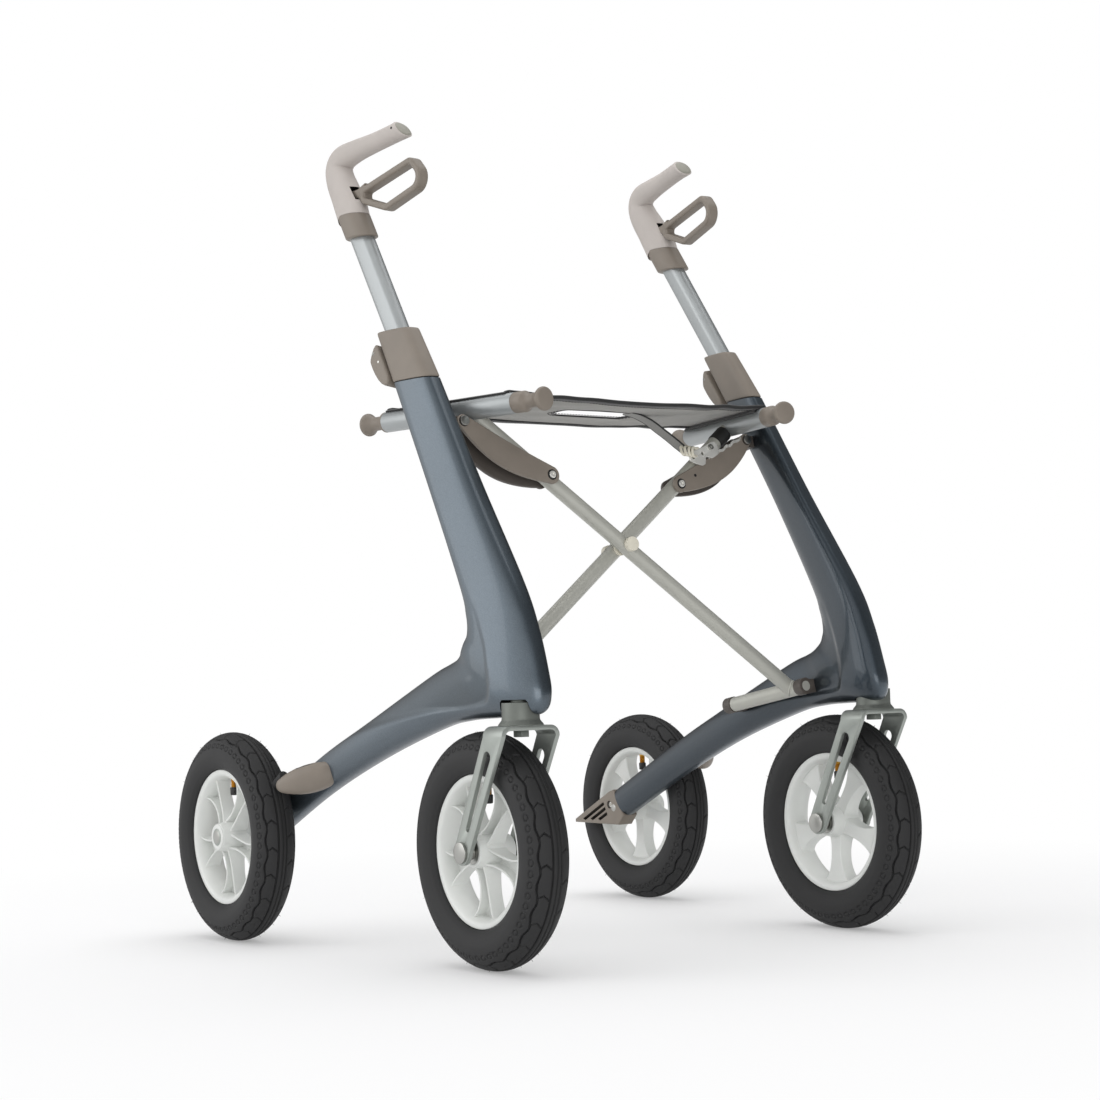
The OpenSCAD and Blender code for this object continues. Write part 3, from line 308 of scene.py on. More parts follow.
# Painted shade: the colour is darkened on the faces towards the seat and on the set-back panel.
for mark, tint in (("inner_face_shade", (0.42, 0.44, 0.46, 1)), ("set_back_shade", (0.7, 0.7, 0.69, 1))):
    marked = add(tree, "ShaderNodeAttribute", attribute_name=mark)
    colour = multiplied(tree, colour, tint, marked.outputs["Fac"])
gloss = add(tree, "ShaderNodeMapRange", {"Value": cloud, "To Min": 0.34, "To Max": 0.42})
bump = add(tree, "ShaderNodeBump", {"Height": flakes.outputs["Distance"], "Strength": 0.06, "Distance": 0.0001})
feed(tree, shader, {"Base Color": colour, "Roughness": gloss.outputs[0], "Normal": bump.outputs[0],
                    "Metallic": 0.85, "Coat Weight": 0.45, "Coat Roughness": 0.08})
print("lacquer: flakes of about", round(1 / FLAKE_SCALE / MM, 2), "mm")

# %% [markdown]
# ## Shapes
# Three ways of making a shape cover nearly all of it: rings of points skinned into a tube, a
# profile turned about an axis, and a flat outline given a thickness with rounded edges. A shape
# is a pair, points in millimetres and faces, so that shapes can be placed, mirrored and joined
# before one object is made of them. Modelling by hand would be quicker once, but these follow sizes.


# %% Skinned and turned shapes
def loft(rings, closed=False, ends=True, seam=True):
    """Skin over a row of rings. closed joins the last ring to the first, seam the two ends of each."""
    rings = np.asarray(rings, float)
    m, n = rings.shape[:2]
    faces = []
    for j in range(m if closed else m - 1):
        a, b = j * n, ((j + 1) % m) * n
        for k in range(n if seam else n - 1):
            faces.append((a + k, a + (k + 1) % n, b + (k + 1) % n, b + k))
    if ends and not closed:
        faces.append(tuple(range(n - 1, -1, -1)))
        faces.append(tuple(range((m - 1) * n, m * n)))
    return rings.reshape(-1, 3), faces


def turn(profile, sides=64, loop=False):
    """Profile of (radius, height) turned about Z. loop joins its last point to its first."""
    angles = np.linspace(0, 2 * np.pi, sides, endpoint=False)
    rings = [np.column_stack((radius * np.cos(angles), radius * np.sin(angles), np.full(sides, height)))
             for radius, height in profile]
    return loft(rings, closed=loop, ends=not loop)


def sweep_tube(path, radius, sides=16):
    """Round tube along a path of points."""
    path = np.asarray(path, float)
    tangents = np.gradient(path, axis=0)
    tangents /= np.linalg.norm(tangents, axis=1)[:, None]
    side = np.cross(tangents[0], (0.3, 0.5, 0.8))
    rings = []
    angles = np.linspace(0, 2 * np.pi, sides, endpoint=False)
    for p, t in zip(path, tangents):
        side = side - t * side.dot(t)
        side /= np.linalg.norm(side)
        other = np.cross(t, side)
        rings.append(p + radius * (np.outer(np.cos(angles), side) + np.outer(np.sin(angles), other)))
    return loft(rings)


# %% [markdown]
# A plate starts as a flat curve, because Blender fills a curve with holes in it and bevels its rim by
# itself. The curve is evaluated and read back as plain points and faces, and so is anything that a
# modifier makes.


# %% Plates
def hold(name, data):
    """An object for a mesh or a curve, put in the scene."""
    holder = bpy.data.objects.new(name, data)
    bpy.context.scene.collection.objects.link(holder)
    return holder


def read_back(holder):
    """What an object evaluates to, as a shape, with the number of each face's finish."""
    mesh = bpy.data.meshes.new_from_object(holder.evaluated_get(bpy.context.evaluated_depsgraph_get()))
    points = np.array([v.co for v in mesh.vertices], float).reshape(-1, 3)
    faces = [tuple(q.vertices) for q in mesh.polygons]
    finishes = [q.material_index for q in mesh.polygons]
    bpy.data.meshes.remove(mesh)
    return (points, faces), finishes


def plate(outlines, thickness, edge=0.8, steps=2):
    """Flat outlines, holes among them, given a thickness about Z = 0 with rounded edges."""
    curve = bpy.data.curves.new("outline", "CURVE")
    curve.dimensions = "2D"
    curve.fill_mode = "BOTH"
    curve.extrude = thickness / 2 - edge
    curve.bevel_depth = edge
    curve.bevel_resolution = steps
    curve.offset = -edge
    for outline in outlines:
        spline = curve.splines.new("POLY")
        spline.points.add(len(outline) - 1)
        for point, (x, y) in zip(spline.points, outline):
            point.co = (x, y, 0, 1)
        spline.use_cyclic_u = True
    holder = hold("outline", curve)
    shape, _ = read_back(holder)
    bpy.data.objects.remove(holder)
    bpy.data.curves.remove(curve)
    return shape


# %% Placing shapes
def put(shape, matrix):
    points, faces = shape
    m = np.array(matrix)
    return points @ m[:3, :3].T + m[:3, 3], faces


def together(*shapes):
    points, faces, start = [], [], 0
    for p, f in shapes:
        points.append(p)
        faces += [tuple(i + start for i in face) for face in f]
        start += len(p)
    return np.concatenate(points), faces


def flipped(shape):
    """The same shape with its faces looking the other way."""
    points, faces = shape
    return points, [face[::-1] for face in faces]


def sided(shape, side):
    """The right-hand shape, or its mirror image on the left."""
    points, faces = shape
    return shape if side > 0 else flipped((points * (-1, 1, 1), faces))


def move(x, y, z):
    return Matrix.Translation((x, y, z))


def rot(axis, degrees):
    return Matrix.Rotation(math.radians(degrees), 4, axis)


# %% [markdown]
# A finished piece is a mesh in metres with outward normals and sharp edges marked. It is parented to
# the body it rides on, the CAD pieces it stands for are hidden, and it has its finish.


# %% Pieces
def new_mesh(name, points, faces=(), edges=()):
    mesh = bpy.data.meshes.new(name)
    mesh.from_pydata(np.asarray(points, float).tolist(), edges, faces)
    return mesh


def place_piece(mesh, material, body, replaced, crease):
    mesh.shade_smooth()
    mesh.set_sharp_from_angle(angle=math.radians(crease))
    mesh.materials.append(material)
    piece = hold(mesh.name, mesh)
    if body:
        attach(piece, body)
    if replaced:
        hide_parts(*replaced)
    return piece


def make(name, shape, material, body, replaced=(), crease=38, tidy=True):
    """One finished piece from a shape. Its doubles are merged and its normals turned out if tidy."""
    points, faces = shape
    mesh = new_mesh(name, np.asarray(points) * MM, faces)
    if tidy:
        bm = bmesh.new()
        bm.from_mesh(mesh)
        bmesh.ops.remove_doubles(bm, verts=bm.verts, dist=2e-6)
        bmesh.ops.dissolve_degenerate(bm, edges=bm.edges, dist=1e-6)
        bmesh.ops.recalc_face_normals(bm, faces=bm.faces)
        bm.to_mesh(mesh)
        bm.free()
    return place_piece(mesh, material, body, replaced, crease)


def second_finish(piece, material, faces):
    """Gives some faces of a piece another finish."""
    piece.data.materials.append(material)
    for face in faces:
        piece.data.polygons[face].material_index = 1


# %% [markdown]
# Slots and recesses are cut with a Boolean modifier. They could be laid out in the faces from the
# start, but on a skinned shape a cutter is simpler and can be moved. Both shapes get two finishes, the
# first on the shape and the second on its cutters, so that the walls of the cut can be told apart
# afterwards.


# %% Carving
def carve(shape, cutters):
    """Boolean difference of closed shapes; the walls of the cut come back as a list of face numbers."""
    holders = []
    for points, faces in [shape] + cutters:
        mesh = new_mesh("carving", points, faces)
        bm = bmesh.new()
        bm.from_mesh(mesh)
        bmesh.ops.recalc_face_normals(bm, faces=bm.faces)
        if bm.calc_volume(signed=True) < 0:
            bmesh.ops.reverse_faces(bm, faces=bm.faces)
        bm.to_mesh(mesh)
        bm.free()
        mesh.materials.append(TAUPE)
        mesh.materials.append(DARK_TAUPE_AND_SHADE)
        mesh.polygons.foreach_set("material_index", [int(len(holders) > 0)] * len(mesh.polygons))
        holders.append(hold("carving", mesh))
    for cutter in holders[1:]:
        modifier = holders[0].modifiers.new("cut", "BOOLEAN")
        modifier.object, modifier.operation, modifier.solver = cutter, "DIFFERENCE", "EXACT"
    carved, finishes = read_back(holders[0])
    for holder in holders:
        bpy.data.objects.remove(holder)
    return carved, [face for face, number in enumerate(finishes) if number == 1]


# %% [markdown]
# Some CAD pieces already have their true shape. A copy is merged, freed of the lines across its flat
# faces, and its sharp edges are rounded, as a real moulding or casting has them.


# %% Dressing CAD pieces
def dress(node, material, body, edge):
    bm = bmesh.new()
    bm.from_mesh(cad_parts[node].data)
    bmesh.ops.remove_doubles(bm, verts=bm.verts, dist=2e-6)
    bmesh.ops.dissolve_limit(bm, angle_limit=math.radians(1.2), verts=bm.verts, edges=bm.edges)
    sharp = [e for e in bm.edges if e.is_manifold and e.calc_face_angle(0) > math.radians(30)]
    bmesh.ops.bevel(bm, geom=sharp, offset=edge * MM, segments=2, profile=0.5, affect="EDGES", clamp_overlap=True)
    mesh = bpy.data.meshes.new(node + "_dressed")
    bm.to_mesh(mesh)
    bm.free()
    return place_piece(mesh, material, body, [node], crease=38)


# %% [markdown]
# ## Side frames
# Each side of the rollator is one moulding, leg and rear arm in a boomerang. The CAD model
# skins it over a table of stations; the same table is skinned here with many more rings, so the
# silhouette is smooth. It could be sculpted, or subdivided from a rough cage, but either would leave
# the CAD shape. The real moulding also has a panel set back into the crook and along the arm, whose
# edge catches the light. It is pressed in here by thinning the sections inside that edge.

# %% Shared sizes
FRAME_X, FRAME_SPLAY, FRAME_THICK = 241, 34.5, 56
FRAME_FRONT, FRAME_LEN = -334, 572
ARM_END_Z, LEG_TOP_Z = 117, 650
FRAME_RISE = LEG_TOP_Z - ARM_END_Z
# Shares: front y and z and back y and z of length and rise, shift and twist of the splay, thickness.
STATIONS = np.array([
    [0.351, 1.000, 0.470, 1.000, 0.00, 0.29, 0.48],
    [0.215, 0.771, 0.338, 0.771, 0.08, 0.41, 0.56],
    [0.077, 0.552, 0.225, 0.557, 0.13, 0.45, 0.65],
    [0.032, 0.452, 0.201, 0.493, 0.14, 0.48, 0.70],
    [0.007, 0.366, 0.197, 0.456, 0.16, 0.52, 0.77],
    [0.000, 0.325, 0.205, 0.437, 0.20, 0.56, 0.82],
    [0.009, 0.296, 0.212, 0.424, 0.23, 0.52, 0.84],
    [0.042, 0.285, 0.220, 0.413, 0.26, 0.36, 0.86],
    [0.115, 0.283, 0.234, 0.403, 0.34, 0.18, 0.82],
    [0.208, 0.278, 0.259, 0.394, 0.43, 0.07, 0.70],
    [0.304, 0.261, 0.322, 0.373, 0.49, 0.00, 0.66],
    [0.514, 0.197, 0.523, 0.289, 0.66, 0.00, 0.62],
    [0.724, 0.113, 0.741, 0.195, 0.88, 0.00, 0.55],
    [0.960, 0.000, 1.000, 0.066, 0.97, 0.00, 0.49],
])


def along(table, s):
    """Smooth curve through the rows of a table."""
    i = min(int(s), len(table) - 2)
    a, b, c, d = (table[max(0, min(len(table) - 1, i + k))] for k in (-1, 0, 1, 2))
    t = s - i
    return (2 * b + (c - a) * t + (2 * a - 5 * b + 4 * c - d) * t ** 2 + (3 * b - a - 3 * c + d) * t ** 3) / 2


def smooth(table, steps):
    """The same curve in finer rows, so many to each row of the table."""
    table = np.asarray(table, float)
    return np.array([along(table, k / steps) for k in range((len(table) - 1) * steps + 1)])


def ease(t):
    t = np.clip(t, 0, 1)
    return t * t * (3 - 2 * t)


def rounded_ring(middle, half_a, half_b, sides, power):
    a = 2 * np.pi * (np.arange(sides) + 0.5) / sides
    ca, sa = np.cos(a), np.sin(a)
    ca, sa = np.sign(ca) * np.abs(ca) ** power, np.sign(sa) * np.abs(sa) ** power
    return middle + np.outer(ca, half_a) + np.outer(sa, half_b)


def frame_ring(s, sides=144, fullness=1):
    """One section of the frame; it is squarer up the leg and rounder down at the arm."""
    power = 0.84 - 0.24 * ease((s[1] - 0.35) / 0.4)
    trim = 1 - 0.3 * (0.8 - min(power, 0.8))
    front = np.array([0, FRAME_FRONT + s[0] * FRAME_LEN, ARM_END_Z + s[1] * FRAME_RISE])
    back = np.array([0, FRAME_FRONT + s[2] * FRAME_LEN, ARM_END_Z + s[3] * FRAME_RISE])
    spread = np.array([s[5] * FRAME_SPLAY, 0, 0])
    middle = (front + back) / 2 + (FRAME_X + s[4] * FRAME_SPLAY, 0, 0)
    half_x = np.array([s[6] * FRAME_THICK / 2 * fullness * trim, 0, 0])
    return rounded_ring(middle, (back - front + spread) / 2 * trim, half_x, sides, power)


print("frame table:", len(STATIONS), "stations over", FRAME_LEN, "x", FRAME_RISE, "mm")

# %% The panel in the crook
CREASE = smooth([(-232, 425), (-240, 400), (-249, 389), (-259, 368), (-268, 347), (-275, 323), (-278, 304),
                 (-275, 288), (-262, 279), (-221, 274), (-158, 271), (-85, 262), (-9, 249), (45, 235), (110, 214)], 4)
PANEL_EDGE, PANEL_FULLNESS = 9, 0.84
FADE_Y, FADE_Z = (10, 110), (290, 420)


def panel(points):
    """0 outside the set-back panel, 1 on its floor, for points seen from the side."""
    run = np.diff(CREASE, axis=0)
    rel = points[:, None, 1:] - CREASE[:-1]
    share = np.clip((rel * run).sum(2) / (run ** 2).sum(1), 0, 1)
    away = rel - share[..., None] * run
    gap = np.hypot(away[..., 0], away[..., 1])
    nearest = gap.argmin(1)
    pick = np.arange(len(points)), nearest
    left_of = run[nearest, 0] * away[pick][:, 1] - run[nearest, 1] * away[pick][:, 0] > 0
    floor = ease(np.where(left_of, gap[pick], 0) / PANEL_EDGE)
    for axis, (start, stop) in ((1, FADE_Y), (2, FADE_Z)):
        floor = floor * (1 - ease((points[:, axis] - start) / (stop - start)))
    return floor


print("panel: edge of", len(CREASE), "points,", PANEL_EDGE, "mm wide")

# %% Side frames
STEM_X, STEM_Y, NECK_R, NOTCH_LOW, NOTCH_TOP = 250, -303, 21.4, 252, 287
table = smooth(STATIONS, 16)
full = np.array([frame_ring(row) for row in table])
thin = np.array([frame_ring(row, fullness=PANEL_FULLNESS) for row in table])
pressed = panel(full.reshape(-1, 3)).reshape(full.shape[:2])
rings = full + (thin - full) * pressed[..., None]
notch = turn([(0, NOTCH_LOW), (NECK_R, NOTCH_LOW), (NECK_R, NOTCH_TOP - 3), (NECK_R - 1.5, NOTCH_TOP),
              (0, NOTCH_TOP)])
frame_shape, notch_walls = carve(loft(rings[::-1]), [put(notch, move(STEM_X, STEM_Y, 0))])
for word, side in SIDES:
    shell = make(word + "_frame_shell", sided(frame_shape, side), LACQUER, word + "_frame",
                 [word + "_side_frame"], crease=50, tidy=False)
    second_finish(shell, SHADOW_GAP, notch_walls)
    facing = np.array([v.normal.x * side for v in shell.data.vertices])
    # Painted shade: how far a point faces the seat, which darkens the lacquer there.
    shell.data.attributes.new("inner_face_shade", "FLOAT", "POINT").data.foreach_set("value", ease(0.2 - facing))
    # Painted shade: the set-back panel on the outer face, which darkens the lacquer there.
    panel_shade = panel(np.array([v.co for v in shell.data.vertices]) / MM) * ease(facing * 3)
    shell.data.attributes.new("set_back_shade", "FLOAT", "POINT").data.foreach_set("value", panel_shade)
print("side frames:", len(frame_shape[1]), "faces each,", len(notch_walls), "in the notch for the stem")

# %% [markdown]
# ## Geometry Nodes helpers
# A tread, a set of spokes or a row of stitches is one small shape repeated. A Geometry Nodes tree
# does the repeating: the shape comes in, its copies are placed on points, realised as plain mesh
# and given their finish. An Array modifier repeats too, but a tree has inputs with names and can
# scatter. The result is read back as a mesh, so nothing live is left behind.


# %% Geometry Nodes helpers
def new_tree(name, inputs):
    """Empty tree with a Geometry socket each way and named inputs of (name, socket type)."""
    tree = bpy.data.node_groups.new(name, "GeometryNodeTree")
    tree.is_modifier = True
    tree.interface.new_socket("Geometry", in_out="INPUT", socket_type="NodeSocketGeometry")
    tree.interface.new_socket("Geometry", in_out="OUTPUT", socket_type="NodeSocketGeometry")
    for label, kind in inputs:
        tree.interface.new_socket(label, in_out="INPUT", socket_type=kind)
    return tree, add(tree, "NodeGroupInput"), add(tree, "NodeGroupOutput")


def end_tree(tree, ins, outs, copies, weld=None):
    """Ends a tree: its copies become plain mesh, welded if asked, and take their finish."""
    plain = add(tree, "GeometryNodeRealizeInstances", {0: copies.outputs[0]}).outputs[0]
    if weld is not None:
        plain = add(tree, "GeometryNodeMergeByDistance", {"Geometry": plain, "Distance": weld}).outputs[0]
    coat = add(tree, "GeometryNodeSetMaterial", {"Geometry": plain, "Material": ins.outputs["Finish"]})
    feed(tree, outs, {0: coat.outputs[0]})
    print("tree", tree.name + ":", len(tree.nodes), "nodes")


def grow(tree, mesh, values):
    """Runs a tree on a mesh, its inputs set by their identifiers, and reads the result back as a shape."""
    holder = hold("seed_shape", mesh)
    modifier = holder.modifiers.new("grow", "NODES")
    modifier.node_group = tree
    for item in tree.interface.items_tree:
        if item.in_out == "INPUT" and item.name in values:
            modifier[item.identifier] = values[item.name]
    shape, _ = read_back(holder)
    holder.modifiers.remove(modifier)
    bpy.data.objects.remove(holder)
    bpy.data.meshes.remove(mesh)
    return shape


# %% [markdown]
# ## Tyres
# The tyres have straight grooves in the middle, a band of chevron cuts either side, a wavy groove
# at the shoulder and a chain of loops on the wall. A bump in the rubber could show them, but not in
# the outline. All of it repeats, so one tile, a twelfth of the ring, is modelled with its grooves
# pressed in, and a tree repeats it about the axle. The ring is then flipped to face outwards.

# %% One tile of the tread
TYRE_R, TYRE_MID_R, BEAD_R, BEAD_FOOT_R, BEAD_W = 26, 101, 82.2, 74.1, 13.9
TILES, CHEVRONS, LOOPS, TILE_STEPS = 12, 2, 5, 56
TILE_ARC = 2 * math.pi * (TYRE_MID_R + TYRE_R) / TILES
LINE_AT, CHEVRON_AT, WAVE_AT, LOOP_AT, WALL_LINES_AT = 12, 29, 45, 66, (92, 122)


def groove(distance, half_width, edge=0.45):
    """1 inside a groove, 0 outside, with sloping walls."""
    return np.clip((half_width + edge - np.abs(distance)) / (2 * edge), 0, 1)


def tread_depth(s, angle):
    """How deep the tread is cut at a place along the tile and an angle across the section."""
    a = np.abs(angle)
    pitch = TILE_ARC / CHEVRONS
    s = (s + np.where(angle < 0, pitch / 2, 0)) % TILE_ARC

    def off(degrees):
        return np.radians(a - degrees) * TYRE_R
    wave = np.abs((s / pitch) % 1 - 0.5) * 4 - 1
    cut = 2.4 * groove(off(LINE_AT), 0.95)
    cut = np.maximum(cut, 1.6 * groove(off(0), 0.6))
    cut = np.maximum(cut, 2.4 * groove(off(WAVE_AT) - 1.4 * np.clip(wave * 1.6, -1, 1), 0.85))
    slant = np.abs(off(CHEVRON_AT)) * 0.75
    sipe = (s - slant - pitch * 0.25 + pitch / 2) % pitch - pitch / 2
    cut = np.maximum(cut, 2.2 * groove(sipe, 0.6) * ((a > LINE_AT) & (a < WAVE_AT + 1)))
    link = TILE_ARC / LOOPS
    chain = np.hypot(((s % link) - link / 2) / 5.0, off(LOOP_AT) / 3.4)
    cut = np.maximum(cut, 1.3 * groove((chain - 0.8) * 3.4, 0.5))
    cut = np.maximum(cut, -0.5 * groove((chain - 0.25) * 3.4, 0.5, 0.6) * (cut == 0) * (a > WAVE_AT + 10))
    return cut - 0.45 * (groove(off(WALL_LINES_AT[0]), 0.4) + groove(off(WALL_LINES_AT[1]), 0.5))


angles = np.concatenate((np.linspace(-135, -84, 12), np.linspace(-80, 80, 96), np.linspace(84, 135, 12)))
tile_rings = []
for k in range(TILE_STEPS + 1):
    reach = TYRE_R - tread_depth(np.full(len(angles), TILE_ARC * k / TILE_STEPS), angles)
    radius = TYRE_MID_R + reach * np.cos(np.radians(angles))
    width = reach * np.sin(np.radians(angles))
    radius = np.concatenate((radius, [BEAD_R, BEAD_FOOT_R, BEAD_FOOT_R, BEAD_R]))
    width = np.concatenate((width, [BEAD_W, BEAD_W, -BEAD_W, -BEAD_W]))
    turned = 2 * math.pi * k / TILE_STEPS / TILES
    tile_rings.append(np.column_stack((width, -radius * math.sin(turned), radius * math.cos(turned))))
tread_tile = loft(tile_rings, ends=False)
print("tread tile:", len(tread_tile[1]), "faces, repeated", TILES, "times")

# %% Tree: repeat a tile about the axle
RING_TREE, ins, outs = new_tree("repeat_about_axle", [
    ("Count", "NodeSocketInt"), ("Weld", "NodeSocketFloat"), ("Finish", "NodeSocketMaterial")])
spots = add(RING_TREE, "GeometryNodePoints", {"Count": ins.outputs["Count"]})
index = add(RING_TREE, "GeometryNodeInputIndex").outputs[0]
share = math_node(RING_TREE, "DIVIDE", index, ins.outputs["Count"])
spin = add(RING_TREE, "ShaderNodeCombineXYZ", {"X": math_node(RING_TREE, "MULTIPLY", share, 2 * math.pi)})
copies = add(RING_TREE, "GeometryNodeInstanceOnPoints", {
    "Points": spots.outputs[0], "Instance": ins.outputs["Geometry"], "Rotation": spin.outputs[0]})
end_tree(RING_TREE, ins, outs, copies, ins.outputs["Weld"])

# %% Tyres
WHEEL_BASE, FRONT_TRACK, REAR_TRACK, AXLE_Z = 474, 500, 630, 127
tread_ring = grow(RING_TREE, new_mesh("tread_tile", *tread_tile), {"Count": TILES, "Weld": 0.02, "Finish": RUBBER})
tyre_shape = flipped(tread_ring)


def wheel_place(end, side):
    if end == "front":
        return move(side * FRONT_TRACK / 2, -WHEEL_BASE / 2, AXLE_Z)
    return move(side * REAR_TRACK / 2, WHEEL_BASE / 2, AXLE_Z)


WHEELS = [(f"{word}_{end}", end, side) for word, side in SIDES for end in ("front", "rear")]
for wheel, end, side in WHEELS:
    make(wheel + "_treaded_tyre", put(sided(tyre_shape, side), wheel_place(end, side)), RUBBER,
         wheel + "_wheel", [wheel + "_tyre"], crease=48, tidy=False)
print("tyres:", len(tyre_shape[1]), "faces each")

# %% [markdown]
# ## Rims
# White nylon rims with five spokes. A spoke is a channel, open to the outside: a floor that widens
# into the rim, and a thin rib along each edge. It could be milled from a disc with cutters; skinning
# its section outwards along the radius gives cleaner faces. The tree that repeated the tread repeats
# it five times.

# %% Rim rings and hubs
ring_half = [(82.0, 15.9), (81.8, 16.5), (81.3, 16.9), (80.5, 17.0), (78.0, 16.9), (76.0, 16.3), (74.2, 14.4),
             (72.6, 11.0), (71.4, 6.5), (70.9, 2.0)]
bed_half = [(73.9, 3.0), (73.9, 13.6), (74.3, 14.0), (81.4, 14.0), (81.9, 14.3)]
ring_loop = ring_half + [(r, -w) for r, w in ring_half[::-1]]
ring_loop += [(r, -w) for r, w in bed_half[::-1]] + bed_half
ring_shape = put(turn(ring_loop, 120, loop=True), rot("Y", 90))
HUB_R, HUB_HALF, SEAT_R, BORE_R, SEAT_DEPTH = 19, 23, 13, 6.9, 8
hub_loop = [(BORE_R, -HUB_HALF + SEAT_DEPTH), (SEAT_R, -HUB_HALF + SEAT_DEPTH), (SEAT_R, -HUB_HALF + 0.6),
            (SEAT_R + 0.6, -HUB_HALF), (15.6, -HUB_HALF), (16.4, -HUB_HALF + 0.6), (17.6, -HUB_HALF + 7),
            (HUB_R, -HUB_HALF + 14)]
hub_loop += [(r, -w) for r, w in hub_loop[::-1]]
hub_shape = put(turn(hub_loop, 64, loop=True), rot("Y", 90))
print("hub:", 2 * HUB_HALF, "mm wide, bore", 2 * BORE_R, "mm")

# %% Spokes
SPOKES, SPOKE_START = 5, 36
# Radius, half width of the spoke and height of its ribs.
spoke_table = [[14, 9.4, 15], [19, 9.2, 14], [26, 8.2, 11.5], [38, 8.2, 9.5], [50, 9.8, 8.8],
               [60, 13.0, 9.2], [66, 16.4, 10.2], [70, 20.0, 11.2], [71.8, 22.5, 12.0]]
RIB, FLOOR_X, BACK_X = 2.6, -3.0, -8.5
spoke_rings = []
for radius, half, top in smooth(spoke_table, 4):
    section = [(-half, BACK_X + 1), (-half + 1, BACK_X), (half - 1, BACK_X), (half, BACK_X + 1),
               (half, top - 0.7), (half - 0.7, top), (half - RIB + 0.7, top), (half - RIB, top - 0.7),
               (half - RIB, FLOOR_X + 1.2), (half - RIB - 1.2, FLOOR_X),
               (-half + RIB + 1.2, FLOOR_X), (-half + RIB, FLOOR_X + 1.2),
               (-half + RIB, top - 0.7), (-half + RIB - 0.7, top), (-half + 0.7, top), (-half, top - 0.7)]
    spoke_rings.append([(x, y, radius) for y, x in section])
spoke_shape = put(loft(spoke_rings), rot("X", SPOKE_START))
spokes_shape = grow(RING_TREE, new_mesh("spoke", *spoke_shape), {"Count": SPOKES, "Weld": 0.0, "Finish": RIM_WHITE})
rim_shape = together(ring_shape, hub_shape, spokes_shape)
for wheel, end, side in WHEELS:
    make(wheel + "_spoked_rim", put(sided(rim_shape, side), wheel_place(end, side)), RIM_WHITE,
         wheel + "_wheel", [wheel + "_rim"], crease=34)
print("rims:", len(rim_shape[1]), "faces each")

# %% [markdown]
# ## Clamp collars and handle tubes
# A plastic collar closes the top of the leg and clamps the handle tube, an oval aluminium tube that
# slides in it. The collar carries on the leg's own section up the handle, so it is skinned from that
# ring rather than modelled apart, and the two always fit. A thin dark gap shows where it meets the
# lacquer, so it starts a little above the leg with a black ring of painted shade behind.

# %% Clamp collars and handle tubes
HANDLE_LEAN, HANDLE_IN, HANDLE_TOE, CLAMP_H = 34, 2, 10, 64
LEG_TOP_Y = FRAME_FRONT + FRAME_LEN * (STATIONS[0][0] + STATIONS[0][2]) / 2
LEG_TOP = np.array([FRAME_X, LEG_TOP_Y, LEG_TOP_Z])
HANDLE = move(*LEG_TOP) @ rot("Y", -HANDLE_IN) @ rot("X", -HANDLE_LEAN) @ rot("Z", -HANDLE_TOE)
HANDLE_RUN = np.array([-math.tan(math.radians(HANDLE_IN)), math.tan(math.radians(HANDLE_LEAN)), 1]) * CLAMP_H
leg_ring = frame_ring(STATIONS[0])


def collar_ring(height, swell):
    return LEG_TOP + (leg_ring - LEG_TOP) * (1 - 0.07 * height) * swell + HANDLE_RUN * height


collar_shape = loft([collar_ring(h, w) for h, w in (
    (0.022, 0.955), (0.026, 0.985), (0.036, 1.004), (0.06, 1.012), (0.5, 1.008), (0.93, 1.0), (0.972, 0.99),
    (0.993, 0.965), (1.0, 0.92), (0.998, 0.80), (0.985, 0.74))])
gap_shade_shape = loft([collar_ring(h, 0.95) for h in (-0.01, 0.05)])


def oval(width, depth, sides=48):
    a = np.linspace(0, 2 * np.pi, sides, endpoint=False)
    return np.column_stack((width / 2 * np.cos(a), width / 2 * np.sin(a) + np.sign(np.sin(a)) * (depth - width) / 2))


TUBE_W, TUBE_D, TUBE_DOWN, TUBE_UP = 19, 31, 118, 255
tube_outline = oval(TUBE_W, TUBE_D)
tube_shape = put(loft([np.column_stack((tube_outline, np.full(len(tube_outline), z)))
                       for z in np.linspace(-TUBE_DOWN, TUBE_UP, 12)]), HANDLE)
for word, side in SIDES:
    make(word + "_clamp_sleeve", sided(collar_shape, side), TAUPE, word + "_frame",
         [word + "_clamp_collar"], crease=50)
    # Painted shade: a black ring in the gap between the collar and the leg.
    make(word + "_clamp_gap_shade", sided(gap_shade_shape, side), SHADOW_GAP, word + "_frame")
    make(word + "_sliding_tube", sided(tube_shape, side), SILVER, word + "_handle",
         [word + "_handle_tube"], crease=40)
print("collars and tubes: tube shows from", LEG_TOP_Z + CLAMP_H, "mm up")

# %% [markdown]
# The clamp lever is a curved tongue behind the collar. From the side it is a quarter moon with a
# sloping top; it is cut from its outline and given round edges, and grip ribs go on its underside. The
# bright end of a pin shows on its outer side.

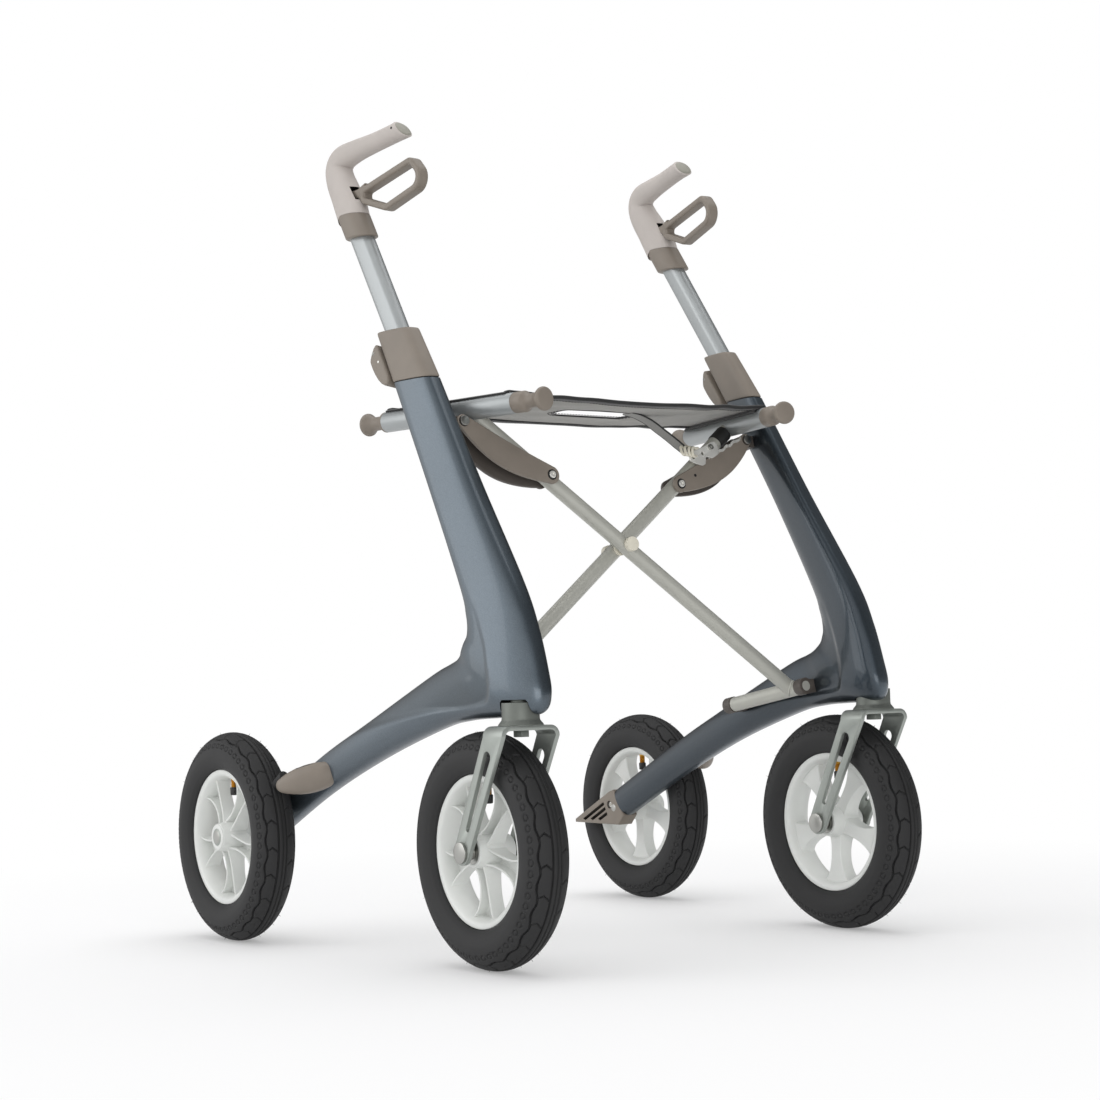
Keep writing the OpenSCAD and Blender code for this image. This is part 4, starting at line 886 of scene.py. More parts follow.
# %% Clamp levers
COLLAR_BACK = FRAME_LEN * (STATIONS[0][2] - STATIONS[0][0]) * math.cos(math.radians(HANDLE_LEAN)) / 2
LEVER_W = 23
PIN_Y, PIN_Z = COLLAR_BACK + LEVER_W * 0.42, CLAMP_H * 1.1
lever_side = [(-9.4, 5.0), (-8.6, 6.8), (-7.0, 7.6), (-2.6, 6.2), (3.4, 1.8), (7.4, -2.0), (9.4, -5.2), (9.8, -9),
              (9.9, -16), (9.2, -25), (7.6, -34), (4.8, -42), (1.4, -47.2), (-2.2, -49.4), (-5.6, -49.0),
              (-8.0, -46.2), (-9.2, -40), (-9.4, -24), (-9.4, -8)]
lever_shape = put(plate([lever_side], LEVER_W, 2.2, 3), rot("X", 90) @ rot("Y", 90))
rib_shape = together(*(put(plate([[(-0.7, -8), (0.7, -8), (0.7, 8), (-0.7, 8)]], 1.6, 0.4),
                           move(0, 8.9 - k * 0.55, -17 - k * 4.2) @ rot("X", 90 + 5 * k) @ rot("Z", 90))
                       for k in range(5)))
LEVER_PLACE = HANDLE @ move(0, PIN_Y, PIN_Z)
PIN_END_AT = (257.3, -41.2, 678.3)
pin_end = put(turn([(0, 0.7), (1.1, 0.6), (1.7, 0.1), (1.8, -1.5)], 20), move(*PIN_END_AT) @ rot("Y", 90))
for word, side in SIDES:
    make(word + "_clamp_tongue", sided(put(lever_shape, LEVER_PLACE), side), TAUPE, word + "_clamp",
         [word + "_clamp_lever"], crease=45)
    make(word + "_clamp_ribs", sided(put(rib_shape, LEVER_PLACE), side), TAUPE, word + "_clamp")
    make(word + "_clamp_pin_end", sided(pin_end, side), BRIGHT, word + "_clamp", crease=40)
print("clamp levers: pin", round(PIN_Y, 1), "mm behind the tube")

# %% [markdown]
# ## Grips
# The grip is a soft sleeve bent like a hockey stick: out of the collar, up and back, then forward
# over the top. A curve with a round bevel would give the bend, but this section changes on the way, so
# it is skinned from the CAD table with more rings. A plug closes its slanted end, and a dark slot lets
# the brake lever in.

# %% Grips
GRIP_BASE_Z, GRIP_COLLAR_H = 868, 31
GRIP_BASE = np.array([FRAME_X - (GRIP_BASE_Z - LEG_TOP_Z) * math.tan(math.radians(HANDLE_IN)),
                      LEG_TOP_Y + (GRIP_BASE_Z - LEG_TOP_Z) * math.tan(math.radians(HANDLE_LEAN))
                      / math.cos(math.radians(HANDLE_IN)), GRIP_BASE_Z])
GRIP_TURN, GRIP_REACH, GRIP_RISE, GRIP_D = 24, 83, 94, 35
# Shares: turn in, reach back and rise of the spine, then half width and half height of the diameter.
GRIP_TABLE = np.array([
    [0.00, 0.00, 0.00, 0.47, 0.68], [0.05, 0.22, 0.30, 0.46, 0.62], [0.10, 0.40, 0.53, 0.45, 0.56],
    [0.15, 0.46, 0.70, 0.44, 0.50], [0.24, 0.35, 0.82, 0.42, 0.44], [0.40, 0.05, 0.87, 0.37, 0.37],
    [0.65, -0.36, 0.905, 0.33, 0.32], [0.90, -0.76, 0.945, 0.33, 0.31], [1.00, -0.97, 0.965, 0.33, 0.33]])
fine_grip = smooth(GRIP_TABLE, 7)


def grip_middle(row):
    return GRIP_BASE + (-row[0] * GRIP_TURN, row[1] * GRIP_REACH, row[2] * GRIP_RISE)


spine = np.array([grip_middle(row) for row in fine_grip])
tangents = np.gradient(spine, axis=0)
tangents[0] = (0, 0, 1)
tangents /= np.linalg.norm(tangents, axis=1)[:, None]
grip_rings = []
for row, middle, t in zip(fine_grip, spine, tangents):
    lift = np.cross((1, 0, 0), t)
    lift /= np.linalg.norm(lift)
    grip_rings.append(rounded_ring(middle, np.cross(t, lift) * row[3] * GRIP_D, lift * row[4] * GRIP_D, 48, 0.9))
tip, tip_run = spine[-1], tangents[-1]
for back in range(1, 6):
    slant = 0.7 * (6 - back) / 5
    below = (grip_rings[-back] - spine[-back]) @ lift
    grip_rings[-back] = grip_rings[-back] + np.outer(below * slant - 3 * slant, tip_run)
for share, reach in ((0.97, 0.7), (0.9, 1.3)):
    grip_rings.append(tip + (grip_rings[len(fine_grip) - 1] - tip) * share + tip_run * reach)
grip_shape = loft(grip_rings)
plug_shape = loft([tip + (grip_rings[len(fine_grip) - 1] - tip) * share + tip_run * reach
                   for share, reach in ((0.84, 0.9), (0.84, 1.7), (0.80, 2.1), (0.6, 2.5), (0.2, 2.7))])
print("grips: spine of", len(spine), "points")

# %% Lever slot, grip collar and hole
GRIP_HOLE_AT = (221.8, -25, 960)
LEVER_AT = GRIP_BASE + (-0.06 * GRIP_TURN, 0.1 * GRIP_REACH, 0.27 * GRIP_RISE)
slot_box = put(plate([[(-7.4, -8.4), (7.4, -8.4), (7.4, 10.0), (-7.4, 10.0)]], 46, 4.5, 3),
               move(*(LEVER_AT + (0, -17.0, 0))) @ rot("X", 90))
(grip_points, grip_faces), slot_walls = carve(grip_shape, [slot_box])
collar_rows = ((0.0, 0.94), (0.02, 0.985), (0.06, 1.0), (0.5, 1.0), (0.94, 1.0), (0.985, 0.99), (1.0, 0.96))
HANDLE_SLOPE = -HANDLE_RUN / CLAMP_H * GRIP_COLLAR_H
grip_collar_shape = loft([GRIP_BASE + (grip_rings[0] - GRIP_BASE) * w * 1.01 + HANDLE_SLOPE * (1 - h)
                          for h, w in collar_rows])
hole_shape = put(turn([(0, 0.2), (1.5, 0.2), (1.7, 0), (1.7, -1.5), (0, -1.5)], 20),
                 move(*GRIP_HOLE_AT) @ rot("Y", 90))
for word, side in SIDES:
    grip = make(word + "_soft_grip", sided((grip_points, grip_faces), side), SOFT_GRIP, word + "_handle",
                [word + "_grip"], crease=50, tidy=False)
    second_finish(grip, SHADOW_GAP, slot_walls)
    make(word + "_grip_plug", sided(plug_shape, side), GRIP_END, word + "_handle", crease=60)
    make(word + "_grip_sleeve", sided(grip_collar_shape, side), TAUPE, word + "_handle",
         [word + "_grip_collar"], crease=45)
    make(word + "_grip_hole", sided(hole_shape, side), SHADOW_GAP, word + "_handle")
print("lever slot:", len(slot_walls), "faces")

# %% [markdown]
# ## Brake loops
# The brake lever is a flat strap bent into a closed loop, wider than it is thick, on a short neck
# that goes into the grip. A tube swept round the loop would be too round. The hull of four circles
# gives its outline, an inner copy the opening, and the rounded edge of the plate the soft moulding.


# %% Brake loops
def hull(points):
    """Convex outline of flat points, anticlockwise."""
    points = sorted(map(tuple, points))

    def chain(row):
        kept = []
        for q in row:
            while len(kept) > 1 and ((kept[-1][0] - kept[-2][0]) * (q[1] - kept[-2][1])
                                     - (kept[-1][1] - kept[-2][1]) * (q[0] - kept[-2][0])) <= 0:
                kept.pop()
            kept.append(q)
        return kept[:-1]
    return chain(points) + chain(points[::-1])


LOOP_LEN, LOOP_H, LOOP_T, LOOP_W, LOOP_TURN = 140, 53, 8, 15, 7
LOOP_CIRCLES = [(-0.27, -0.10, 0.22), (-0.86, 0.18, 0.25), (-0.88, -0.02, 0.34), (-0.54, -0.34, 0.24)]


def loop_outline(inset):
    points = []
    for x, y, r in LOOP_CIRCLES:
        for a in np.linspace(0, 2 * np.pi, 48, endpoint=False):
            reach = r * LOOP_H - inset
            points.append((x * LOOP_LEN + reach * math.cos(a), y * LOOP_H + reach * math.sin(a)))
    return hull(points)


neck_side = [(4, -4.4), (5, 0), (4, 4.4), (-14, 4.2), (-22, 4.8), (-29, 7.6), (-35, 9.5), (-36, -15), (-30, -12),
             (-22, -6.6), (-14, -5.6)]
loop_flat = plate([loop_outline(0), loop_outline(LOOP_T)], LOOP_W, 2.6, 3)
neck_flat = plate([neck_side], LOOP_W * 0.8, 1.6, 3)
TO_SIDE = rot("Z", 90) @ rot("X", 90)
lever_place = move(*LEVER_AT) @ rot("Z", -LOOP_TURN)
loop_shape = put(together(loop_flat, neck_flat), lever_place @ TO_SIDE)
pin_shape = put(turn([(0, -12.6), (3.2, -12.6), (3.5, -12.3), (3.5, 12.3), (3.2, 12.6), (0, 12.6)], 32),
                move(*LEVER_AT) @ rot("Y", 90))
for word, side in SIDES:
    make(word + "_brake_loop", sided(together(loop_shape, pin_shape), side), TAUPE, word + "_brake",
         [word + "_brake_lever"], crease=45)
print("brake loops:", len(loop_shape[1]), "faces each")

# %% [markdown]
# ## Screws
# Bright socket screws hold the pods, pedals and links. A head is a short turned button with a
# six-sided recess: rings of one count of points, round outside and hexagonal inside, are skinned. A
# cutter would do it as well, with more faces.


# %% Socket screws
def socket_head(radius, height):
    a = np.linspace(0, 2 * np.pi, 36, endpoint=False)
    six = math.cos(math.pi / 6) / np.cos(a % (math.pi / 3) - math.pi / 6)

    def circle(r, z, shape=1):
        return np.column_stack((r * shape * np.cos(a), r * shape * np.sin(a), np.full(36, z)))
    return loft([circle(radius, -1), circle(radius, height * 0.6), circle(radius * 0.95, height * 0.85),
                 circle(radius * 0.8, height), circle(radius * 0.56, height, six),
                 circle(radius * 0.53, height * 0.3, six)])


def washer(inner, outer, thickness):
    e = thickness * 0.3
    return turn([(inner, 0), (outer - e, 0), (outer, e), (outer, thickness - e), (outer - e, thickness),
                 (inner, thickness)], 48, loop=True)


print("socket head:", len(socket_head(4, 3)[1]), "faces")

# %% [markdown]
# ## Brake pods
# In front of each rear tyre a pebble-shaped pod sits on the arm's outer face and guides the brake
# shoe. A stretched ball comes near it, but the pod is blunt at one end, so it is a spine with rounded
# sections, fat in the middle and small at the tyre. An oval recess with a screw is cut in its top.

# %% Brake pods
POD_ROOT, POD_TIP = np.array([279, 54, 205.5]), np.array([320.5, 113, 190])
pod_run = (POD_TIP - POD_ROOT) / np.linalg.norm(POD_TIP - POD_ROOT)
pod_side = np.cross(pod_run, (0, 0, 1))
pod_side /= np.linalg.norm(pod_side)
pod_up = np.cross(pod_side, pod_run)
# Place along the pod as a share, half width and half height.
POD_TABLE = [[-0.12, 2.0, 2.4], [-0.10, 6.5, 7.4], [-0.04, 10.4, 11.8], [0.03, 12.4, 14.0],
             [0.12, 13.5, 15.5], [0.30, 14.2, 17.0], [0.50, 13.8, 16.6], [0.70, 11.8, 13.8],
             [0.85, 9.4, 10.4], [0.94, 6.8, 7.4], [0.985, 3.6, 4.0], [1.0, 0.6, 0.6]]


def pod_ring(place, half_w, half_h):
    middle = POD_ROOT + (POD_TIP - POD_ROOT) * place
    return rounded_ring(middle, pod_side * half_w, pod_up * half_h, 48, 0.86)


pod_shape = loft([pod_ring(*row) for row in smooth(POD_TABLE, 6)])
recess_at = POD_ROOT + (POD_TIP - POD_ROOT) * 0.42 + pod_up * 16.6 + pod_side * 3
TOP = Matrix(np.vstack((np.column_stack((pod_run, pod_side, pod_up, recess_at)), (0, 0, 0, 1))).tolist())
recess = put(plate([oval(9, 24)], 12, 1.2), TOP @ move(0, 0, 2.2) @ rot("Z", 90))
(pod_points, pod_faces), recess_walls = carve(pod_shape, [recess])
pod_screw = put(socket_head(3.4, 2.0), TOP @ move(-5.5, 0, -3.6))
for word, side in SIDES:
    pod = make(word + "_pod_body", sided((pod_points, pod_faces), side), TAUPE, word + "_frame",
               [word + "_brake_pod"], crease=45, tidy=False)
    # Painted shade: the walls of the recess are darker than the pod.
    second_finish(pod, DARK_TAUPE_AND_SHADE, recess_walls)
    make(word + "_pod_screw", sided(pod_screw, side), BRIGHT, word + "_frame")
print("pods:", len(pod_faces), "faces,", len(recess_walls), "in the recess")

# %% [markdown]
# ## Kerb pedals
# A wedge closes each arm and serves as a foot lever at kerbs. Its outline is cut from the side and
# narrowed towards the tip, and three slots are milled in from the inner face, as on the real part.

# %% Kerb pedals
PEDAL_X, PEDAL_W, PEDAL_SCREW_AT = 274.5, 24.6, (247, 131)
PEDAL_CREST, PEDAL_NOSE = np.array([249, 148.4]), np.array([333.8, 108.4])
pedal_side = [(214.8, 117.2), (227.3, 103.9), (333.6, 103.9), PEDAL_NOSE, PEDAL_CREST, (238.2, 151.8)]
pedal_flat = put(plate([pedal_side], PEDAL_W, 2.0, 3), TO_SIDE)
narrow = 1 - 0.27 * ease((pedal_flat[0][:, 1] - 246) / 88)
pedal_points = pedal_flat[0] * np.column_stack((narrow, np.ones_like(narrow), np.ones_like(narrow)))
slope = (PEDAL_NOSE - PEDAL_CREST) / np.linalg.norm(PEDAL_NOSE - PEDAL_CREST)
inward = np.array([slope[1], -slope[0]])
cutters = []
for reach, length in ((7.5, 58), (15, 41), (22.5, 24)):
    start = PEDAL_CREST + slope * 17 + inward * reach
    corners = [start, start + slope * length, start + slope * (length - 4) + inward * 4.6, start + inward * 4.6]
    cutters.append(put(plate([[tuple(c) for c in corners]], 20, 0.8), move(-9, 0, 0) @ TO_SIDE))
well = put(turn([(0, -6), (5.4, -6), (5.4, 5), (0, 5)], 32), move(-11.3, *PEDAL_SCREW_AT) @ rot("Y", 90))
pedal_shape, pedal_walls = carve((pedal_points, pedal_flat[1]), cutters + [well])
pedal_shape = put(pedal_shape, move(PEDAL_X, 0, 0))
pedal_screw = put(socket_head(4.2, 3.2), move(PEDAL_X - 6.8, *PEDAL_SCREW_AT) @ rot("Y", -90))
for word, side in SIDES:
    pedal = make(word + "_pedal_wedge", sided(pedal_shape, side), TAUPE, word + "_frame",
                 [word + "_kerb_pedal"], crease=45, tidy=False)
    # Painted shade: the walls of the slots and the screw well are darker than the pedal.
    second_finish(pedal, DARK_TAUPE_AND_SHADE, pedal_walls)
    make(word + "_pedal_screw", sided(pedal_screw, side), BRIGHT, word + "_frame")
print("pedals:", len(pedal_shape[1]), "faces,", len(pedal_walls), "in the slots")

# %% [markdown]
# ## Valves, hub caps and rubber hairs
# Each inner tube ends in a threaded brass valve with a black cap, straight above every axle. The
# rear hubs carry a grey cap in a white ring. New tyres are covered in thin rubber hairs from the
# vents of the mould. Blender's own hair would not export, so a tree scatters points over the tread
# with a fixed seed and grows a thin needle along each normal.

# %% Valves and hub caps
AIR_TUBE_R, THREADS, THREAD_PITCH = 20.9, 9, 1.1
tube_loop = [(TYRE_MID_R + AIR_TUBE_R * math.cos(a), AIR_TUBE_R * math.sin(a))
             for a in np.linspace(0, 2 * np.pi, 24, endpoint=False)]
air_tube = put(turn(tube_loop, 72, loop=True), rot("Y", 90))
thread = []
for k in range(THREADS):
    thread += [(3.3, 59.5 + k * THREAD_PITCH), (3.8, 60.0 + k * THREAD_PITCH)]
valve_stem = turn([(0, 52), (2.2, 52), (2.4, 59)] + thread + [(3.9, 70), (3.9, 84), (0, 84)], 32)
cap_rings = []
a = np.linspace(0, 2 * np.pi, 48, endpoint=False)
for r, z, knurl in ((2.6, 49.8, 0), (4.0, 50.1, 0), (4.4, 50.8, 0.2),
                    (4.6, 58.6, 0.3), (4.2, 59.4, 0.1), (3.0, 59.5, 0)):
    reach = r + knurl * np.cos(a * 12)
    cap_rings.append(np.column_stack((reach * np.cos(a), reach * np.sin(a), np.full(48, z))))
valve_cap = loft(cap_rings)
hub_ring = put(turn([(9.6, 21.5), (15.2, 21.5), (15.6, 22.0), (15.4, 24.2), (14.6, 24.8), (11.2, 24.8),
                     (9.8, 24.2)], 56, loop=True), rot("Y", 90))
hub_disc = put(turn([(0, 22), (10.4, 22), (10.4, 24.6), (9.6, 25.1), (6.4, 25.3), (5.8, 24.7), (0, 24.6)], 48),
               rot("Y", 90))
for wheel, end, side in WHEELS:
    place, body = wheel_place(end, side), wheel + "_wheel"
    make(wheel + "_air_tube", put(air_tube, place), RUBBER, body, [wheel + "_inner_tube"])
    make(wheel + "_valve_stem", put(valve_stem, place), BRASS, body, crease=30)
    make(wheel + "_valve_cap", put(valve_cap, place), BLACK, body, crease=50)
    if end == "rear":
        make(wheel + "_hub_ring", put(sided(hub_ring, side), place), RIM_WHITE, body)
        make(wheel + "_hub_disc", put(sided(hub_disc, side), place), CAST, body)
print("valves:", len(valve_stem[1]) + len(valve_cap[1]), "faces each")

# %% Tree: hairs along the normals
HAIR_TREE, ins, outs = new_tree("rubber_hairs", [
    ("Density", "NodeSocketFloat"), ("Seed", "NodeSocketInt"), ("Length", "NodeSocketFloat"),
    ("Finish", "NodeSocketMaterial")])
scatter = add(HAIR_TREE, "GeometryNodeDistributePointsOnFaces", {
    "Mesh": ins.outputs["Geometry"], "Density": ins.outputs["Density"], "Seed": ins.outputs["Seed"]})
needle = add(HAIR_TREE, "GeometryNodeMeshCone", {
    "Vertices": 5, "Radius Bottom": 0.32, "Radius Top": 0.16, "Depth": ins.outputs["Length"]})
vary = add(HAIR_TREE, "FunctionNodeRandomValue", {2: 0.35, 3: 1.0, "Seed": ins.outputs["Seed"]}, data_type="FLOAT")
copies = add(HAIR_TREE, "GeometryNodeInstanceOnPoints", {
    "Points": scatter.outputs["Points"], "Instance": needle.outputs["Mesh"],
    "Rotation": scatter.outputs["Rotation"], "Scale": vary.outputs[1]})
end_tree(HAIR_TREE, ins, outs, copies)

# %% Rubber hairs
HAIR_ROOT_R, HAIR_LEN, HAIR_DENSITY, HAIR_SEED = 25.2, 4.0, 0.0042, 11
bands = []
for low, high in ((16, 44), (48, 76), (-44, -16), (-76, -48)):
    for start, stop in ((24, 138), (222, 336)):
        about = np.radians(np.linspace(start, stop, 40))
        rows = []
        for across in np.radians(np.linspace(low, high, 4)):
            reach = TYRE_MID_R + HAIR_ROOT_R * math.cos(across)
            rows.append(np.column_stack((np.full(40, HAIR_ROOT_R * math.sin(across)), reach * np.cos(about),
                                         reach * np.sin(about))))
        bands.append(loft(rows, ends=False, seam=False))
hair_bed = together(*bands)
for number, (wheel, end, side) in enumerate(WHEELS):
    hairs = grow(HAIR_TREE, new_mesh("hair_bed", *hair_bed), {
        "Density": HAIR_DENSITY, "Seed": HAIR_SEED + number, "Length": HAIR_LEN, "Finish": RUBBER})
    make(wheel + "_hairs", put(hairs, wheel_place(end, side)), RUBBER, wheel + "_wheel", tidy=False)
print("hairs:", len(hairs[1]) // 7, "on the last tyre")

# %% [markdown]
# ## Fold links
# Each link is a pair of curved cheeks, one each side of its cross tube, on a bolt in the frame and a
# screw in the tube. From the front a cheek is a banana: nearly straight on top, full below, round at
# both ends. Its outline is set out along the line between the two bolts and given round edges. The
# cross leans back, so links and tubes are drawn upright and placed by one matrix, FOLD.

# %% Fold links
CROSS_LEAN, LINK_PIN, LINK_BOLT = 9, np.array([102, 256.14]), np.array([214, 315.0])
FOLD = move(0, -177.84, 283.83) @ rot("X", -CROSS_LEAN)
chord = LINK_PIN - LINK_BOLT
LINK_LEN = np.linalg.norm(chord)
chord /= LINK_LEN
below = np.array([-chord[1], chord[0]])


def cheek_outline(bulge, bolt_r=8.0, pin_r=10.4):
    at = np.linspace(0, 1, 40)
    nose = bolt_r + (pin_r - bolt_r) * at
    low = np.column_stack((at * LINK_LEN, nose + (bulge - nose) * np.sin(np.pi * at) ** 0.9))
    high = np.column_stack((at * LINK_LEN, 1.6 * np.sin(np.pi * at) - nose))[::-1]
    turn_at = np.radians(np.linspace(90, -90, 20))[1:-1]
    pin_end = np.column_stack((LINK_LEN + pin_r * np.cos(turn_at), pin_r * np.sin(turn_at)))
    bolt_end = np.column_stack((-bolt_r * np.cos(turn_at), -bolt_r * np.sin(turn_at)))
    flat = np.vstack((low, pin_end, high, bolt_end))
    return LINK_BOLT + np.outer(flat[:, 0], chord) + np.outer(flat[:, 1], below)


CHEEK_T, NEAR_V, FAR_V = 5, -3.9, 24.9
FRONT_BULGE, REAR_BULGE = 24, 29
for word, side in SIDES:
    front_face, rear_face = (NEAR_V, FAR_V) if side > 0 else (-FAR_V, -NEAR_V)
    front_cheek = put(plate([cheek_outline(FRONT_BULGE)], CHEEK_T, 1.2, 3),
                      FOLD @ move(0, front_face + CHEEK_T / 2, 0) @ rot("X", 90))
    rear_cheek = put(plate([cheek_outline(REAR_BULGE)], CHEEK_T, 1.2, 3),
                     FOLD @ move(0, rear_face - CHEEK_T / 2, 0) @ rot("X", 90))
    make(word + "_link_front_cheek", sided(front_cheek, side), TAUPE, word + "_link",
         [word + "_fold_link"], crease=45)
    # Painted shade: the rear cheek gets the darker taupe because it lies in shadow.
    make(word + "_link_rear_cheek", sided(rear_cheek, side), DARK_TAUPE_AND_SHADE, word + "_link", crease=45)
    heads, rings = [], []
    for x, w in (LINK_PIN, LINK_BOLT):
        for v, way in ((front_face, -1), (rear_face, 1)):
            face = FOLD @ move(x, v, w) @ rot("X", -90 * way)
            heads.append(put(socket_head(4.4, 2.4), face))
            rings.append(put(washer(3.8, 6.2, 0.6), face))
    make(word + "_link_screws", sided(together(*heads), side), BRIGHT, word + "_link")
    make(word + "_link_washers", sided(together(*rings), side), SHADOW_GAP, word + "_link")
GAUGE_HOLE_OFF = 25.8
hole_at = LINK_PIN - chord * GAUGE_HOLE_OFF + below
gauge = put(turn([(0, -1), (1.9, -1), (1.9, 0.12), (1.5, 0.2), (0, 0.2)], 24),
            FOLD @ move(hole_at[0], NEAR_V, hole_at[1]) @ rot("X", 90))
make("right_link_gauge_hole", gauge, SHADOW_GAP, "right_link")
print("links:", round(LINK_LEN, 1), "mm between the bolts")

# %% [markdown]
# ## Folding cross
# Two tubes cross at the pivot. Each has a hinge bar welded across its foot, which turns in the bearing
# blocks, and ends in the seat bar of the other side. A bevelled curve makes a tube too; a turned shape
# also has its true ends. The weld bead is a thin tube swept along the line where the two round
# surfaces meet.

# %% Folding cross
HINGE_X, CROSS_RISE, CROSS_R, TUBE_V, BAR_START, BAR_LEN, BAR_EDGE = 224, 176, 9, 10.5, -24.8, 124, 0.8
JOURNAL, JOURNAL_R, WELD_R, SADDLE_GAP = 13, 6, 1.4, 8
TUBE_RISE = math.degrees(math.atan(CROSS_RISE / HINGE_X))
for name, side, top_x in (("front_cross", -1, 198.4), ("rear_cross", 1, 203)):
    tube_len = math.hypot(HINGE_X + top_x, CROSS_RISE * (1 + top_x / HINGE_X)) - SADDLE_GAP
    foot = FOLD @ move(-side * HINGE_X, side * TUBE_V, 0) @ rot("Y", side * (90 - TUBE_RISE))
    tube = put(turn([(0, 0), (CROSS_R, 0), (CROSS_R, tube_len), (0, tube_len)], 64), foot)
    hinge = FOLD @ move(-side * HINGE_X, BAR_START, 0) @ rot("X", -90)
    bar = put(turn([(0, 0), (CROSS_R - BAR_EDGE, 0), (CROSS_R, BAR_EDGE), (CROSS_R, BAR_LEN - BAR_EDGE),
                    (CROSS_R - BAR_EDGE, BAR_LEN), (0, BAR_LEN)], 64), hinge)
    journal = put(turn([(0, -JOURNAL), (JOURNAL_R, -JOURNAL), (JOURNAL_R, BAR_LEN + JOURNAL),
                        (0, BAR_LEN + JOURNAL)], 32), hinge)
    about = np.linspace(0, 2 * np.pi, 73)
    joint = np.column_stack((np.cos(about), np.sin(about), np.abs(np.sin(about)))) * CROSS_R + (0, 0, 0.3)
    bead = put(sweep_tube(joint, WELD_R, 10), foot)
    make(name + "_bars", together(tube, bar, journal, bead), CHAMPAGNE, name, [name + "_tube"],
         crease=40)
print("cross: tubes of", round(tube_len), "mm rising", round(TUBE_RISE, 1), "degrees")

# %% [markdown]
# ## Seat
# The seat is a coated woven sheet stretched between the two seat bars, dark on top and pale grey
# below, with a hand slot, black tape on its free edges and a black sleeve over each bar. The sheet
# is skinned in rings from the slot outwards and closed over its edges. Simulated cloth could hang
# there, but this sheet is tight, and a formula for its height is enough. It hangs on both halves of
# the folding cross.

# %% Cloth finishes
FIBRE_SCALE, WEAR_AND_WEAVE_SHADE = 28, 0.35


def weave(name, colour, back, thread=0.0011, lift=0.4):
    """Plain weave on the piece's own UV map, in metres, with another colour on faces marked under."""
    material, tree, shader = new_material(name)
    flat = add(tree, "ShaderNodeTexCoord").outputs["UV"]
    spread = add(tree, "ShaderNodeSeparateXYZ", {0: flat})
    turns = [math_node(tree, "MULTIPLY", spread.outputs[k], math.pi / thread) for k in (0, 1)]
    over = math_node(tree, "MULTIPLY", *(math_node(tree, "SINE", angle) for angle in turns))
    threads = add(tree, "ShaderNodeMapRange", {"Value": over, "From Min": -1}).outputs[0]
    fibres = add(tree, "ShaderNodeTexNoise", {"Vector": flat, "Scale": FIBRE_SCALE, "Detail": 6})
    under = add(tree, "ShaderNodeAttribute", attribute_name="under")
    sides = add(tree, "ShaderNodeMix", {0: under.outputs["Fac"], 6: colour, 7: back}, data_type="RGBA")
    worn = multiplied(tree, sides.outputs[2], fibres.outputs["Fac"], WEAR_AND_WEAVE_SHADE)
    bump = add(tree, "ShaderNodeBump", {"Height": threads, "Strength": lift, "Distance": 0.0003})
    # The fibre noise varies the colour at random; the colour is also darkened where the threads dip, painted shade in
    # the hollows of the weave.
    feed(tree, shader, {"Base Color": multiplied(tree, worn, threads, WEAR_AND_WEAVE_SHADE), "Normal": bump.outputs[0],
                        "Roughness": 0.8, "Sheen Weight": 0.25})
    return material


SEAT_CLOTH = weave("seat_cloth", paint(70, 70, 69), paint(178, 176, 170))
TAPE = weave("black_tape", paint(36, 36, 37), paint(36, 36, 37), 0.0009)
WEBBING = weave("grey_webbing", paint(160, 159, 155), paint(160, 159, 155), 0.0014, lift=0.6)
THREAD = finish("sewing_thread", paint(58, 58, 58), 0.7, grain=0.2)
print("cloth finishes: seat, tape, webbing")

# %% Shape of the sheet
FRONT_Y, REAR_Y, FRONT_HALF, REAR_HALF, SLING_Z, SAG = -202.9, -7.6, 183.7, 226.6, 626.0, 5.0
SLOT_LEN, SLOT_W, SLOT_Y = 113, 26, -105.2


def half_width(y):
    return FRONT_HALF + (REAR_HALF - FRONT_HALF) * (y - FRONT_Y) / (REAR_Y - FRONT_Y)


def sling_height(x, y):
    """Height of the sheet: it sags between the bars and draws up in folds towards them and the slot."""
    across = np.clip(np.abs(x) / half_width(y), 0, 1)
    folds = 0.9 * np.sin(x * 0.11 + 1.4 * np.sin(y * 0.03)) * np.exp(-((across - 0.72) / 0.2) ** 2)
    pulls = 1.1 * np.sin((y - SLOT_Y) * 0.12 + x * 0.01) * np.exp(-((np.abs(x) - SLOT_LEN * 0.62) / 26) ** 2)
    gape = -2.6 * np.tanh((y - SLOT_Y) / 6) * np.exp(-(x / 62) ** 6) * np.exp(-((np.abs(y - SLOT_Y) - 13) / 22) ** 2)
    return SLING_Z - SAG * (1 - across ** 2) + folds + pulls + gape


def around(corners, count):
    """Points at even steps round a closed outline."""
    closed = np.vstack((corners, corners[:1]))
    reach = np.concatenate(([0], np.cumsum(np.linalg.norm(np.diff(closed, axis=0), axis=1))))
    at = np.linspace(0, reach[-1], count, endpoint=False)
    return np.column_stack([np.interp(at, reach, closed[:, k]) for k in (0, 1)])


COUNT, SHEET_T = 240, 1.3
edge = around(np.array([[half_width(SLOT_Y), SLOT_Y], [REAR_HALF, REAR_Y], [0, REAR_Y], [-REAR_HALF, REAR_Y],
                        [-half_width(SLOT_Y), SLOT_Y], [-FRONT_HALF, FRONT_Y], [0, FRONT_Y],
                        [FRONT_HALF, FRONT_Y]]), COUNT)
slot_outline = oval(SLOT_W, SLOT_LEN, COUNT)
slot_edge = np.column_stack((slot_outline[:, 1], -slot_outline[:, 0]))
slot_edge = np.roll(slot_edge, -np.argmax(slot_edge[:, 0]), axis=0) + (0, SLOT_Y)
flat_rings = [slot_edge + (edge - slot_edge) * t for t in np.linspace(0, 1, 36) ** 1.2]


